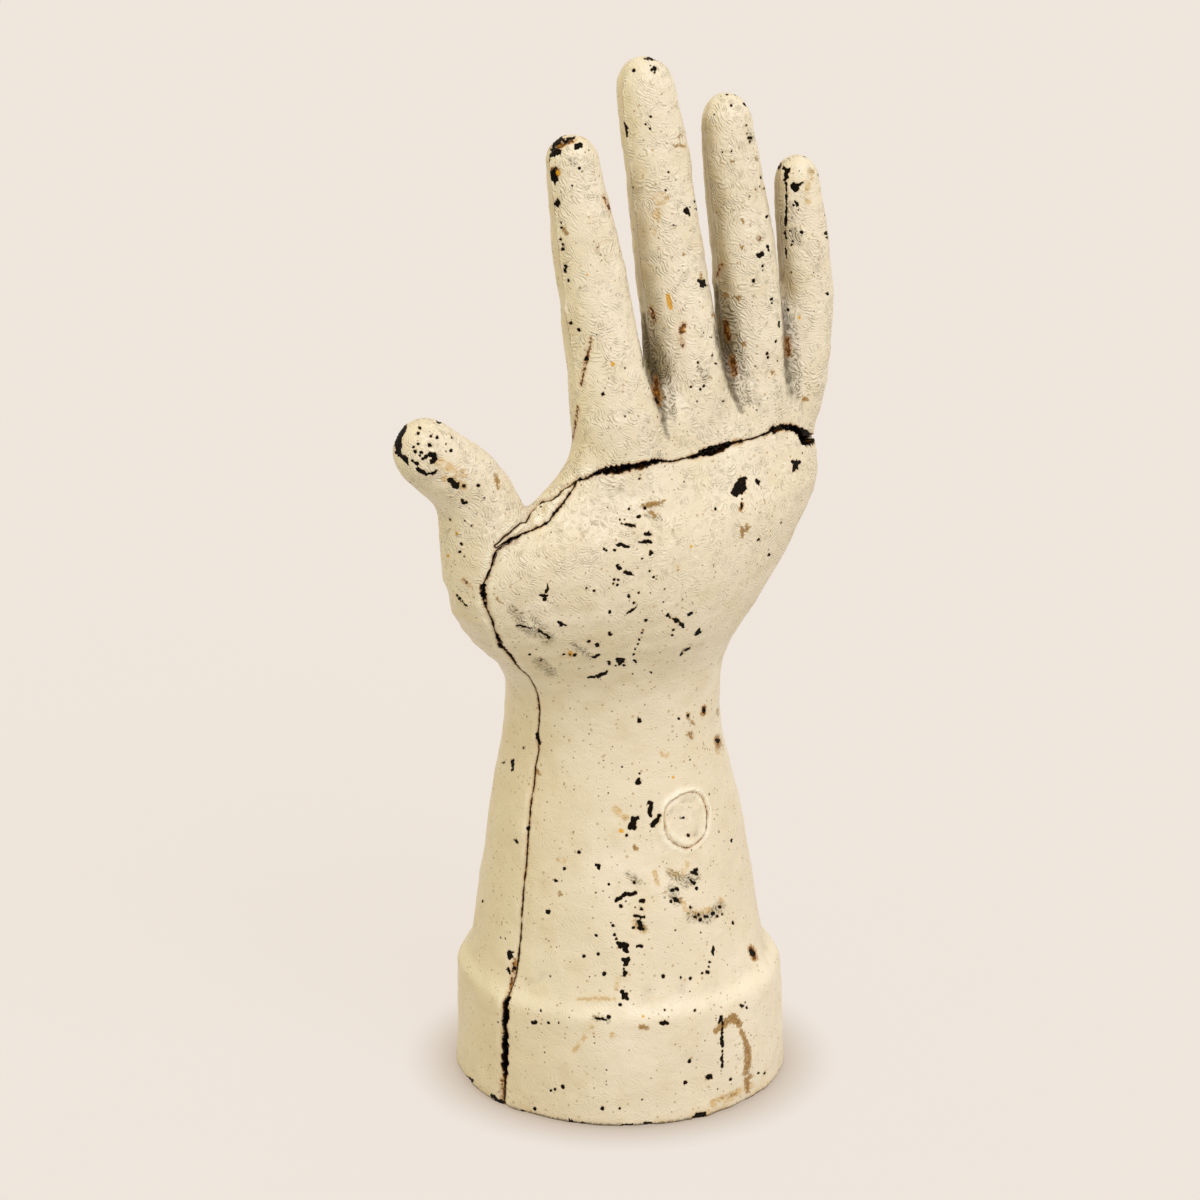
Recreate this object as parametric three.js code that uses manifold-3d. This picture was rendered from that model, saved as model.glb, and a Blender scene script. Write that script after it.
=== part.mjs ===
// A life-size left hand in painted cast iron, standing upright on its forearm and a round foot.
// It is cast in two hollow halves. The back casting carries the thumb and the four fingers.
// The palm casting closes its front from the foot to the roots of the fingers. Dowels line the
// two rims up and one screw through the forearm pulls them together, under a filler plug.
// Millimetres, +Z up. The palm faces -Y and the thumb is on the -X side.
// The origin is the centre of the foot, on the surface that it stands on.

import * as THREE from "three";
import { mergeVertices, toCreasedNormals } from "three/addons/utils/BufferGeometryUtils.js";
import Module from "manifold-3d";

// Foot and forearm
const footRadius = 48.5;
const bandTaper = 1.3;
const footEdge = 1;
const bandHeight = 31;
const shoulderHeight = 9;
const shoulderPlaces = [0.3, 0.6, 0.85];
const shoulderCurve = 0.8;
const forearmRadius = 42.6;
const forearmShiftX = -1.2;
const midForearmRadius = 36.7;
const wristRadius = 30.6;
const wristHeight = 117;
const wristShiftX = -2;
const wristShiftY = 1.5;

// Sections of the hand. Each has its rise over the wrist, its centre and its half sizes. One
// bulge reaches towards the thumb and a lower one forms the ball of the thumb. Squareness 2 is
// an ellipse and a higher one a fuller slab.
const heel = {
  rise: 14, x: -2, y: 0, width: 31.8, front: 31.5, back: 29, thumb: 6, ball: 0, square: 2,
};
const lowPalm = {
  rise: 26, x: 0, y: -6, width: 34.5, front: 31.5, back: 28.5, thumb: 19, ball: 3, square: 2,
};
const midPalm = {
  rise: 39, x: 3, y: -12, width: 38, front: 29, back: 27, thumb: 29.5, ball: 5, square: 2.05,
};
const highPalm = {
  rise: 50, x: 6, y: -17, width: 40.8, front: 25, back: 24.5, thumb: 32, ball: 5, square: 2.1,
};
const knuckles = {
  rise: 62, x: 8, y: -21, width: 42.6, front: 20, back: 20.5, thumb: 22.5, ball: 3, square: 2.4,
};
const thumbWeb = {
  rise: 72, x: 8.5, y: -22, width: 42, front: 15, back: 16, thumb: 8, ball: 1, square: 2.4,
};
const fingerRoots = {
  rise: 87, x: 8.5, y: -22, width: 41, front: 10.6, back: 10.6, thumb: 0, ball: 0, square: 2.6,
};
const ellipse = 2;
const palmCrownRise = 11;
const bulgeFalloff = 2.8;
const thumbBulgeSpread = 40;
const thumbBulgeLean = 0.2;
const ballDirection = 232;
const ballSpread = 42;

// Fingers: radii at the root, middle joint, last joint and tip, the reach from root to tip, and
// how far the middle of the finger bows from a straight line. The radius places are shares of
// the length from inside the palm to the tip. Inside the palm the limb is thinner by the buried
// radius, and tip length is the length of the round end as a share of its radius.
const rootRise = 83;
const rootDepth = -22;
const startRise = 59;
const startDepth = -16.5;
const fanIn = 0.8;
const indexRootInset = -2.1;
const index = { radii: [12.6, 10.5, 9.1, 7.5], reach: [-7.3, 11, 79], bow: [-0.2, -0.5] };
const middle = { radii: [12, 10.3, 9.4, 8.3], reach: [-6.5, 11.5, 95.5], bow: [0, -1] };
const ring = { radii: [11, 9.4, 8.7, 7.3], reach: [-5, 6, 83.7], bow: [1, -1.5] };
const little = { radii: [9.4, 8, 7.5, 6.6], reach: [0.5, -1, 64.2], bow: [3.2, -2] };
const radiusPlaces = [0.333, 0.6, 0.82, 1];
const buriedRadius = 4;
const tipLength = 1.15;
const indexMiddleGap = 1.4;
const middleRingGap = 0;
const ringLittleGap = -5.6;

// Thumb, from inside the palm to its tip
const thumbStart = { at: [-25, -4, 134], radius: 7.5 };
const thumbKnuckle = { at: [-52, -9.5, 162], radius: 14 };
const thumbJoint = { at: [-60.2, -8, 190.8], radius: 11 };
const thumbTip = { at: [-75.3, -8, 205.8], radius: 9.4 };
const thumbTipLength = 1.1;

// Castings
const wall = 7;
const floorThickness = 7;
const jointGap = 0.3;
const footPartingDepth = -5;

// The parting surface over the foot: rise over the wrist and depth
const partingLine = [
  [-39, -3.7],
  [-28, -2.8],
  [-16, -1.5],
  [-5, -1.5],
  [7, -3.8],
  [12.5, -5.2],
  [19, -7.8],
  [26.5, -12.8],
  [31.5, -14.7],
  [39, -17.9],
  [44.5, -18.5],
  [48.3, -18.3],
  [53.1, -19],
  [56.9, -20.1],
  [61, -20.4],
  [64, -21.5],
  [65.8, -23.3],
  [67.2, -24.8],
  [78, -24.6],
];

// The seam across the hand as seen from the front, from the thumb to the little finger: the
// place across and the rise over the wrist
const seamThumbSide = [
  [-68, 60],
  [-62.8, 60.9],
  [-59.9, 63.2],
  [-54.4, 64.3],
  [-50.5, 67.2],
  [-46.5, 71],
  [-42.5, 74.5],
  [-38.5, 76.5],
  [-36.1, 77.2],
  [-31.3, 79.6],
];
const seamUnderFingers = [
  [-24.3, 80.3],
  [-15.1, 80.2],
  [-10.3, 79.2],
  [-2.7, 79.2],
  [11.2, 80],
  [19.4, 79.6],
  [27.3, 80.4],
  [34.3, 79.6],
  [37.8, 77.5],
  [39.5, 74.4],
  [43.5, 73.2],
  [60, 72],
];

// Clamp screw, front to back through the forearm
const screwHeight = 87.5;
const screwX = -3.9;
const screwRadius = 3;
const screwLength = 26;
const screwHeadRadius = 5;
const screwHeadHeight = 3.6;
const slotWidth = 1.2;
const slotDepth = 1.6;
const plugRadius = 7.7;
const plugThickness = 3;
const seatThickness = 5;
const bossRadius = 12;
const pillarRadius = 8.5;
const pillarGap = 0.6;
const tappedDepth = 24;
const fitClearance = 0.3;

// How far pieces that are joined or cut reach past each other
const overlap = 1;

// Dowels across the rims
const dowelRadius = 2;
const dowelLength = 12;
const dowelBossRadius = 5.5;
const footDowelHeight = 20;
const footDowelInset = 6.5;
const palmDowelRise = 46;
const palmDowelInset = 7;
const thumbDowelRise = 34;
const thumbDowelX = -44;

// Strip of joint filler in the fold between the thumb and the index finger
const fillerWidth = 2.6;
const fillerDepth = 3.5;
const fillerFromX = -58;
const fillerToX = -36.5;
const fillerFromRise = 61;

// Facets
const bodyFacets = 56;
const bodyStep = 6;
const cavityFacets = 28;
const cavityStep = 10;
const fingerFacets = 20;
const fingerStations = 12;
const thumbFacets = 24;
const thumbStations = 12;
const roundFacets = 32;
const tipRounding = [18, 36, 54, 70, 83];
const creaseAngle = 0.6;
const weldDistance = 1e-4;

const wasm = await Module();
wasm.setup();

// Closed solid of a geometry whose faces point outwards
function solid(geometry) {
  const bare = geometry.index ? geometry.toNonIndexed() : geometry.clone();
  for (const name of Object.keys(bare.attributes)) {
    if (name !== "position") bare.deleteAttribute(name);
  }
  const merged = mergeVertices(bare, weldDistance);
  const mesh = new wasm.Mesh({
    numProp: 3,
    vertProperties: new Float32Array(merged.attributes.position.array),
    triVerts: new Uint32Array(merged.index.array),
  });
  return new wasm.Manifold(mesh);
}

// Named three.js mesh of a solid
function meshOf(name, manifold, material) {
  const made = manifold.getMesh();
  const positions = new Float32Array(made.numVert * 3);
  for (let i = 0; i < made.numVert; i++) {
    const start = i * made.numProp;
    positions.set(made.vertProperties.subarray(start, start + 3), i * 3);
  }
  const geometry = new THREE.BufferGeometry();
  geometry.setAttribute("position", new THREE.BufferAttribute(positions, 3));
  geometry.setIndex(new THREE.BufferAttribute(new Uint32Array(made.triVerts), 1));
  const mesh = new THREE.Mesh(toCreasedNormals(geometry, creaseAngle), material);
  mesh.name = name;
  return mesh;
}

// Skin over rings of equally many points, closed by a fan at each end. The rings turn
// anticlockwise as seen from the last one.
function loft(rings) {
  const count = rings[0].length;
  const points = rings.flat();
  const centre = (ring) =>
    ring.reduce((sum, p) => sum.add(p), new THREE.Vector3()).divideScalar(ring.length);
  const first = points.push(centre(rings[0])) - 1;
  const last = points.push(centre(rings[rings.length - 1])) - 1;
  const faces = [];
  for (let i = 0; i < count; i++) {
    const next = (i + 1) % count;
    faces.push(first, next, i);
    for (let r = 0; r + 1 < rings.length; r++) {
      const low = r * count;
      const high = low + count;
      faces.push(low + i, low + next, high + next);
      faces.push(low + i, high + next, high + i);
    }
    const top = (rings.length - 1) * count;
    faces.push(top + i, top + next, last);
  }
  const geometry = new THREE.BufferGeometry();
  geometry.setFromPoints(points);
  geometry.setIndex(faces);
  return solid(geometry);
}

// Smooth values between keys, each key a position followed by its values
function smooth(keys) {
  const positions = keys.map((key) => key[0]);
  const values = keys.flatMap((key) => key.slice(1));
  const curve = new THREE.CubicInterpolant(positions, values, keys[0].length - 1);
  return (position) => Array.from(curve.evaluate(position));
}

// Share of a bulge that is felt at an angle, from its own direction and spread in degrees
function bulge(angle, direction, spreadDegrees) {
  const off = Math.abs(THREE.MathUtils.radToDeg(angle) - direction) / spreadDegrees;
  return Math.exp(-(off ** bulgeFalloff));
}

// Flat ring of the forearm or palm at a height
function bodyRing(height, section, facets, inset) {
  const [x, y, width, front, back, thumb = 0, ball = 0, square = ellipse] = section;
  const ballWay = THREE.MathUtils.degToRad(ballDirection);
  const thumbSpread = thumbBulgeSpread - inset;
  const full = (value) => Math.sign(value) * Math.abs(value) ** (2 / square);
  const ring = [];
  for (let i = 0; i < facets; i++) {
    const angle = (2 * Math.PI * i) / facets;
    const depth = Math.sin(angle) < 0 ? front : back;
    const toThumb = thumb * bulge(angle, 180, thumbSpread);
    const toBall = ball * bulge(angle, ballDirection, ballSpread);
    const across = (width - inset) * full(Math.cos(angle));
    const deep = (depth - inset) * full(Math.sin(angle));
    ring.push(
      new THREE.Vector3(
        x + across - toThumb + toBall * Math.cos(ballWay),
        y + deep + toThumb * thumbBulgeLean + toBall * Math.sin(ballWay),
        height,
      ),
    );
  }
  return ring;
}

const rootsHeight = wristHeight + fingerRoots.rise;
const forearmStart = bandHeight + shoulderHeight;

// Size of the body at every height from the top of the shoulder to the finger roots
const roundSection = (height, x, y, radius) => [
  height, x, y, radius, radius, radius, 0, 0, ellipse,
];
const bodyAt = smooth([
  roundSection(forearmStart, forearmShiftX, 0, forearmRadius),
  roundSection(
    (forearmStart + wristHeight) / 2,
    (forearmShiftX + wristShiftX) / 2,
    wristShiftY / 2,
    midForearmRadius,
  ),
  roundSection(wristHeight, wristShiftX, wristShiftY, wristRadius),
  ...[heel, lowPalm, midPalm, highPalm, knuckles, thumbWeb, fingerRoots].map((section) => [
    wristHeight + section.rise,
    section.x,
    section.y,
    section.width,
    section.front,
    section.back,
    section.thumb,
    section.ball,
    section.square,
  ]),
]);

// Heights of the rings, evenly spaced from one end to the other
function spread(from, to, step) {
  const count = Math.max(1, Math.round((to - from) / step));
  return Array.from({ length: count + 1 }, (_, i) => from + ((to - from) * i) / count);
}

// Foot, forearm and palm, made smaller all round by the inset
function body(inset, bottom, facets, step) {
  const round = (height, x, radius) =>
    bodyRing(height, [x, 0, radius, radius, radius], facets, inset);
  const bandRadius = footRadius - bandTaper;
  const rings = [
    round(bottom, 0, footRadius - footEdge),
    round(bottom + footEdge, 0, footRadius),
    round(bandHeight - inset / 2, forearmShiftX / 2, bandRadius),
  ];
  for (const share of shoulderPlaces) {
    const height = bandHeight + shoulderHeight * share * shoulderCurve - inset / 2;
    const radius = bandRadius - (bandRadius - forearmRadius) * share * share;
    rings.push(round(height, forearmShiftX * (0.5 + share / 2), radius));
  }
  for (const height of spread(forearmStart, rootsHeight - inset, step)) {
    rings.push(bodyRing(height, bodyAt(height), facets, inset));
  }
  const crown = palmCrownRise - inset / 2;
  const roots = bodyAt(rootsHeight);
  for (const angle of tipRounding) {
    const rise = Math.sin(THREE.MathUtils.degToRad(angle));
    const shrink = Math.cos(THREE.MathUtils.degToRad(angle));
    const [x, y, width, front, back, , , square] = roots;
    const narrow = front * (1 - shrink);
    const size = [x, y, width - narrow, front * shrink, back * shrink, 0, 0, square];
    const small = inset * shrink;
    rings.push(bodyRing(rootsHeight - inset + crown * rise, size, facets, small));
  }
  return loft(rings);
}

// Round limb along a curve, with a rounded end whose length is a share of its radius. The side
// vector sets where the facets start.
function limb(curve, radiusAt, facets, stations, side, roundness) {
  const rings = [];
  const addRing = (centre, along, radius) => {
    const across = side.clone().addScaledVector(along, -side.dot(along)).normalize();
    const up = along.clone().cross(across);
    const ring = [];
    for (let i = 0; i < facets; i++) {
      const angle = (2 * Math.PI * i) / facets;
      ring.push(
        centre
          .clone()
          .addScaledVector(across, radius * Math.cos(angle))
          .addScaledVector(up, radius * Math.sin(angle)),
      );
    }
    rings.push(ring);
  };
  for (let i = 0; i <= stations; i++) {
    const t = i / stations;
    addRing(curve.getPoint(t), curve.getTangent(t), radiusAt(t));
  }
  const end = curve.getPoint(1);
  const along = curve.getTangent(1);
  const radius = radiusAt(1);
  for (const angle of tipRounding) {
    const theta = THREE.MathUtils.degToRad(angle);
    const centre = end.clone().addScaledVector(along, roundness * radius * Math.sin(theta));
    addRing(centre, along, radius * Math.cos(theta));
  }
  return loft(rings);
}

// One finger, from inside the palm through its root centre to its tip
function finger(spec, rootX) {
  const root = new THREE.Vector3(rootX, rootDepth, wristHeight + rootRise);
  const fan = fingerRoots.x + (rootX - fingerRoots.x) * fanIn;
  const start = new THREE.Vector3(fan, startDepth, wristHeight + startRise);
  const tip = root.clone().add(new THREE.Vector3(...spec.reach));
  const bend = root.clone().lerp(tip, 0.5);
  bend.x += spec.bow[0];
  bend.y += spec.bow[1];
  const curve = new THREE.CatmullRomCurve3([start, root, bend, tip]);
  const radiusAt = smooth([
    [0, spec.radii[0] - buriedRadius],
    ...radiusPlaces.map((place, i) => [place, spec.radii[i]]),
  ]);
  const side = new THREE.Vector3(1, 0, 0);
  return limb(curve, (t) => radiusAt(t)[0], fingerFacets, fingerStations, side, tipLength);
}

// Thumb, made smaller all round by the inset
function thumb(inset) {
  const keys = [thumbStart, thumbKnuckle, thumbJoint, thumbTip];
  const points = keys.map((key) => new THREE.Vector3(...key.at));
  const curve = new THREE.CatmullRomCurve3(points);
  const radii = smooth(keys.map((key, i) => [i / (keys.length - 1), key.radius]));
  const side = new THREE.Vector3(0, 1, 0);
  const radiusAt = (t) => radii(t)[0] - inset;
  return limb(curve, radiusAt, thumbFacets, thumbStations, side, thumbTipLength);
}

const union = (solids) => solids.reduce((sum, piece) => sum.add(piece));

const indexX = knuckles.x - knuckles.width + index.radii[0] - indexRootInset;
const middleX = indexX + index.radii[0] + middle.radii[0] + indexMiddleGap;
const ringX = middleX + middle.radii[0] + ring.radii[0] + middleRingGap;
const littleX = ringX + ring.radii[0] + little.radii[0] + ringLittleGap;

// The whole hand without fingers, made smaller by the inset
function palmAndThumb(inset) {
  return union([body(inset, 0, bodyFacets, bodyStep), thumb(inset)]);
}

const outer = union([
  palmAndThumb(0),
  finger(index, indexX),
  finger(middle, middleX),
  finger(ring, ringX),
  finger(little, littleX),
]);

const cavity = body(wall, floorThickness, cavityFacets, cavityStep);

// Points of an open line moved sideways to its left
function shifted(points, distance) {
  return points.map((point, i) => {
    const before = points[Math.max(0, i - 1)];
    const after = points[Math.min(points.length - 1, i + 1)];
    const along = new THREE.Vector2(after[0] - before[0], after[1] - before[1]).normalize();
    return new THREE.Vector2(point[0] - along.y * distance, point[1] + along.x * distance);
  });
}

// A prism through the whole object, which reaches past it on both sides
const far = 2 * footRadius + 2 * wristHeight;

function prism(points) {
  const geometry = new THREE.ExtrudeGeometry(new THREE.Shape(points), {
    depth: 2 * far,
    bevelEnabled: false,
  });
  geometry.rotateX(Math.PI / 2);
  geometry.translate(0, far, 0);
  return geometry;
}
const prismAlongY = (points) => solid(prism(points));
const prismAlongX = (points) => solid(prism(points).rotateZ(Math.PI / 2));

// Everything inside the seam line as seen from the front, grown by a margin
function insideSeamLine(margin) {
  const seam = [...seamThumbSide, ...seamUnderFingers].map(([x, rise]) => [x, wristHeight + rise]);
  const line = shifted(seam, margin);
  const left = new THREE.Vector2(-far, line[0].y);
  const right = new THREE.Vector2(far, line[line.length - 1].y);
  return prismAlongY([
    new THREE.Vector2(-far, -far),
    new THREE.Vector2(far, -far),
    right,
    ...line.reverse(),
    left,
  ]);
}

// The whole parting line from the foot upwards, as height and depth
const parting = [
  [0, footPartingDepth],
  [bandHeight, footPartingDepth],
  ...partingLine.map(([rise, depth]) => [wristHeight + rise, depth]),
];

// Everything in front of the parting surface, grown backwards by a margin
function beforeParting(margin) {
  const line = [[-far, footPartingDepth], ...parting, [far, parting[parting.length - 1][1]]];
  return prismAlongX([
    new THREE.Vector2(-far, -far),
    ...line.map(([z, y]) => new THREE.Vector2(y + margin, z)),
    new THREE.Vector2(-far, far),
  ]);
}

const palmSide = (margin) => insideSeamLine(margin).intersect(beforeParting(margin));

// Depth of the parting surface at a height
function partingAt(height) {
  const after = Math.max(1, parting.findIndex(([z]) => z > height));
  const [low, lowDepth] = parting[after - 1];
  const [high, highDepth] = parting[after];
  return lowDepth + ((highDepth - lowDepth) * (height - low)) / (high - low);
}

// Cylinder along Y from one depth to another
function rod(x, z, radius, from, to, facets = roundFacets) {
  const geometry = new THREE.CylinderGeometry(radius, radius, to - from, facets);
  geometry.translate(x, (from + to) / 2, z);
  return solid(geometry);
}

function block(low, high) {
  const geometry = new THREE.BoxGeometry(high[0] - low[0], high[1] - low[1], high[2] - low[2]);
  geometry.translate((low[0] + high[0]) / 2, (low[1] + high[1]) / 2, (low[2] + high[2]) / 2);
  return solid(geometry);
}

// Depths along the screw, from the front of the forearm backwards
const [screwBodyX, screwBodyY, , screwFront, screwBack] = bodyAt(screwHeight);
const frontShare = Math.sqrt(1 - ((screwX - screwBodyX) / screwFront) ** 2);
const frontFace = screwBodyY - screwFront * frontShare;
const backFace = screwBodyY + screwBack * frontShare;
const plugBack = frontFace + plugThickness;
const headFront = plugBack + fitClearance;
const headBack = headFront + screwHeadHeight;
const seatFront = headBack + fitClearance;
const seatBack = seatFront + seatThickness;
const pillarFront = seatBack + pillarGap;
const screwEnd = headBack + screwLength;

// Dowels, each centred on the parting surface
const palmSection = bodyAt(wristHeight + palmDowelRise);
const dowels = [
  {
    name: "foot_dowel_thumb_side",
    x: footDowelInset - footRadius,
    z: footDowelHeight,
  },
  {
    name: "foot_dowel_little_finger_side",
    x: footRadius - footDowelInset,
    z: footDowelHeight,
  },
  {
    name: "palm_dowel_little_finger_side",
    x: palmSection[0] + palmSection[2] - palmDowelInset,
    z: wristHeight + palmDowelRise,
  },
  {
    name: "palm_dowel_thumb_side",
    x: thumbDowelX,
    z: wristHeight + thumbDowelRise,
  },
].map((dowel) => ({ ...dowel, y: partingAt(dowel.z) }));

// Hollow shell with a boss from wall to wall round each dowel
const dowelBosses = union(dowels.map(({ x, z }) => rod(x, z, dowelBossRadius, -far, far)));
const shell = outer.subtract(cavity).add(dowelBosses.intersect(palmAndThumb(overlap)));

const dowelHoles = union(
  dowels.map(({ x, y, z }) => {
    const half = dowelLength / 2 + fitClearance;
    return rod(x, z, dowelRadius + fitClearance, y - half, y + half);
  }),
);

// Palm casting, with the counterbored boss for the screw
const seatBoss = rod(screwX, screwHeight, bossRadius, frontFace + overlap, seatBack);
const counterbore = rod(screwX, screwHeight, plugRadius + fitClearance, -far, seatFront);
const clearanceRadius = screwRadius + fitClearance;
const clearanceHole = rod(screwX, screwHeight, clearanceRadius, -far, seatBack + overlap);
const palmCasting = shell
  .intersect(palmSide(0))
  .add(seatBoss.intersect(outer))
  .subtract(union([counterbore, clearanceHole, dowelHoles]));

// Filler strip along the thumb end of the seam, and the rebate that it lies in
function fillerZone(margin) {
  const low = [fillerFromX - margin, -far, 0];
  const high = [fillerToX + margin, far, far];
  return palmSide(jointGap + fillerWidth + margin)
    .intersect(block(low, high))
    .intersect(block([-far, -far, wristHeight + fillerFromRise - margin], [far, far, far]))
    .subtract(palmAndThumb(fillerDepth + margin));
}
const webFiller = fillerZone(0).intersect(outer).subtract(palmSide(jointGap));

// Back casting, with the tapped pillar for the screw
const pillar = rod(screwX, screwHeight, pillarRadius, pillarFront, backFace);
const tappedHole = rod(
  screwX,
  screwHeight,
  clearanceRadius,
  pillarFront - overlap,
  pillarFront + tappedDepth,
);
const backCasting = shell
  .subtract(palmSide(jointGap))
  .subtract(fillerZone(fitClearance))
  .add(pillar.intersect(palmAndThumb(overlap)))
  .subtract(union([tappedHole, dowelHoles]));

// Slotted cheese-head screw
const headSlot = block(
  [screwX - screwHeadRadius - overlap, headFront - overlap, screwHeight - slotWidth / 2],
  [screwX + screwHeadRadius + overlap, headFront + slotDepth, screwHeight + slotWidth / 2],
);
const clampScrew = rod(screwX, screwHeight, screwHeadRadius, headFront, headBack)
  .add(rod(screwX, screwHeight, screwRadius, headBack - overlap, screwEnd))
  .subtract(headSlot);

const screwPlug = rod(screwX, screwHeight, plugRadius, -far, plugBack).intersect(outer);

// Materials
const paintedIron = new THREE.MeshStandardMaterial({
  color: new THREE.Color(0.86, 0.79, 0.63),
  roughness: 0.5,
  metalness: 0,
});
const filler = new THREE.MeshStandardMaterial({
  color: new THREE.Color(0.84, 0.76, 0.6),
  roughness: 0.65,
  metalness: 0,
});
const steel = new THREE.MeshStandardMaterial({
  color: new THREE.Color(0.42, 0.4, 0.38),
  roughness: 0.45,
  metalness: 1,
});

const hand = new THREE.Group();
hand.add(meshOf("back_casting", backCasting, paintedIron));
hand.add(meshOf("palm_casting", palmCasting, paintedIron));
hand.add(meshOf("thumb_web_filler", webFiller, filler));
hand.add(meshOf("screw_plug", screwPlug, filler));
hand.add(meshOf("clamp_screw", clampScrew, steel));
for (const { name, x, y, z } of dowels) {
  const dowel = rod(x, z, dowelRadius, y - dowelLength / 2, y + dowelLength / 2);
  hand.add(meshOf(name, dowel, steel));
}

export default hand;
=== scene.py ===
"""Looks of a cast iron hand: ivory enamel over iron, chipped, stained and split along its seam.

The skins of the two castings, the joint filler and the screw plug are cut from one surface,
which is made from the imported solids, so that they meet as they do on the real casting.
Lengths are in metres, and in millimetres where a name or a comment says so.
"""

import math

import bmesh
import bpy
import numpy as np
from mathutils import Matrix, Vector
from mathutils.bvhtree import BVHTree


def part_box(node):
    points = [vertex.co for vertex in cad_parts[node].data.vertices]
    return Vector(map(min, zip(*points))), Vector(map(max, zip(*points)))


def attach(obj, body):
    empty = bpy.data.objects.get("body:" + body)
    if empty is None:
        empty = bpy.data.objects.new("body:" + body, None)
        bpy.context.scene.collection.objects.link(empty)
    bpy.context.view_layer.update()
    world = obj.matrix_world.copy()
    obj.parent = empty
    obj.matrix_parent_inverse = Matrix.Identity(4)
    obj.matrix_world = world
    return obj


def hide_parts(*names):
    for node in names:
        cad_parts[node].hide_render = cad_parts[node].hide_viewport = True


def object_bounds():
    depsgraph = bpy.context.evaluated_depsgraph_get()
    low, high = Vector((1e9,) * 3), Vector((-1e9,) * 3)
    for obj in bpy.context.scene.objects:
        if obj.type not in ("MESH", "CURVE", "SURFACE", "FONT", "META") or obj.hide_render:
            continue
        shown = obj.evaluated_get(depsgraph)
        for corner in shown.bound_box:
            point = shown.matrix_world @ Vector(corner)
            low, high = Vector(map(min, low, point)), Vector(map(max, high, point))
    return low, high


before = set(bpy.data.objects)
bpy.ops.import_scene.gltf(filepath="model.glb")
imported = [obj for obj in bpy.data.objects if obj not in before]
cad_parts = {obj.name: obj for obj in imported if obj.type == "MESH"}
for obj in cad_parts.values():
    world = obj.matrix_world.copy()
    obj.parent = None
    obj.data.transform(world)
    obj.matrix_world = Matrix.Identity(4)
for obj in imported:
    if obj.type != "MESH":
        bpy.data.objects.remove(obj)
cad_box = [list(corner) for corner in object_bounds()]

MM = 0.001

# Number of waves in a random field
WAVE_COUNT = 28

# Camera, at the photograph's viewing angle
AZIMUTH = math.radians(-40)
ELEVATION = math.radians(20)
DISTANCE = 1.43
LENS_MM = 149.97
SENSOR_MM = 36
PHOTO_SIDE = 1200
TARGET_HEIGHT = 0.143625
TARGET_SHIFT = -0.006065

# Surface
SKIN_NODES = ("back_casting", "palm_casting", "thumb_web_filler", "screw_plug")
BACK, PALM_SIDE, FILLER, PLUG = range(len(SKIN_NODES))
WELD = 0.001 * MM
SWELL = 0.2 * MM
VOXEL = 1.0 * MM
FILL_STEPS = 18
FILL_STEPS_PER_NORMAL = 5
EVEN_STEPS = 12
EVEN_SHARES = (0.5, 0.52)
REFINE_REACH_MM = (1.1, 0.5)
CURVE_SHARE = 0.25
CUT_SHARES = (0.03, 0.97)
WALL_MM = 3.5
FILLING_WALL_MM = 2.5
LEAST_FACES = 400
SHARP_ANGLE = math.radians(65)

# Seams: half gaps between the skins, how far off a solid is looked for, and how ragged they are
SEAM_HALF_MM = 0.24
FILLER_HALF_MM = 0.08
PLUG_HALF_MM = 0.05
SEAM_REACH = 8 * MM
OPEN_RAGGED_MM = 0.2
CLOSED_RAGGED_MM = 0.06
PLUG_RAGGED_MM = 0.35
FILLER_RAGGED_MM = 0.12

# Shelter, found by short rays outward, and hollows, found by smoothing; both darken the paint as painted
# shade, and ridges beside the seams are lightened as painted highlight
SHELTER_SEED = 41
SHELTER_RAYS = 12
SHELTER_SPREAD = 0.98
SHELTER_REACH = 24 * MM
SHELTER_LIFT = 0.5 * MM
SHELTER_STEPS = 8
HOLLOW_STEPS = 24

# Marks: how far they are felt, how specks differ, and which points the camera sees
MARK_REACH_MM = 3
SPECK_SPREAD = 1
SPECK_RAGGED = 0.75
FACING_LEAST = -0.35
SEEN_LIFTS = (1.0 * MM, 0.25 * MM)

# Marks on the sides that the photograph doesn't show
UNSEEN_SEED = 11
UNSEEN_CHIPS = 300
UNSEEN_CHIP_MM = 0.22
UNSEEN_LARGE_SHARE = 0.05
UNSEEN_LARGE_MM = (0.8, 1.6)
UNSEEN_CHIP_SPREAD = 0.9
UNSEEN_CHIP_SIZES = (0.6, 1.1)
UNSEEN_STAINS = 26
UNSEEN_STAIN_SPOTS = 4
UNSEEN_STAIN_MM = (0.4, 1.5)
UNSEEN_STAIN_SPREAD_MM = (1.2, 1.2, 3)

# Flash line of the mould along the fingers, where the surface turns from front to back
FLASH_TURN = math.radians(1)
FLASH_RADIUS_MM = 9
FLASH_STEPS = 4

# Heights above the table in mm, between which the looks change
HAND_HEIGHTS = (120, 150)
BRUSHED_HEIGHTS = (128, 196)
PALE_HEIGHTS = (195, 240)
FINGER_HEIGHTS = (212, 232)
# Height of the painted highlight round the top of the foot
SHOULDER_HIGHLIGHT_HEIGHT = 35

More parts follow.
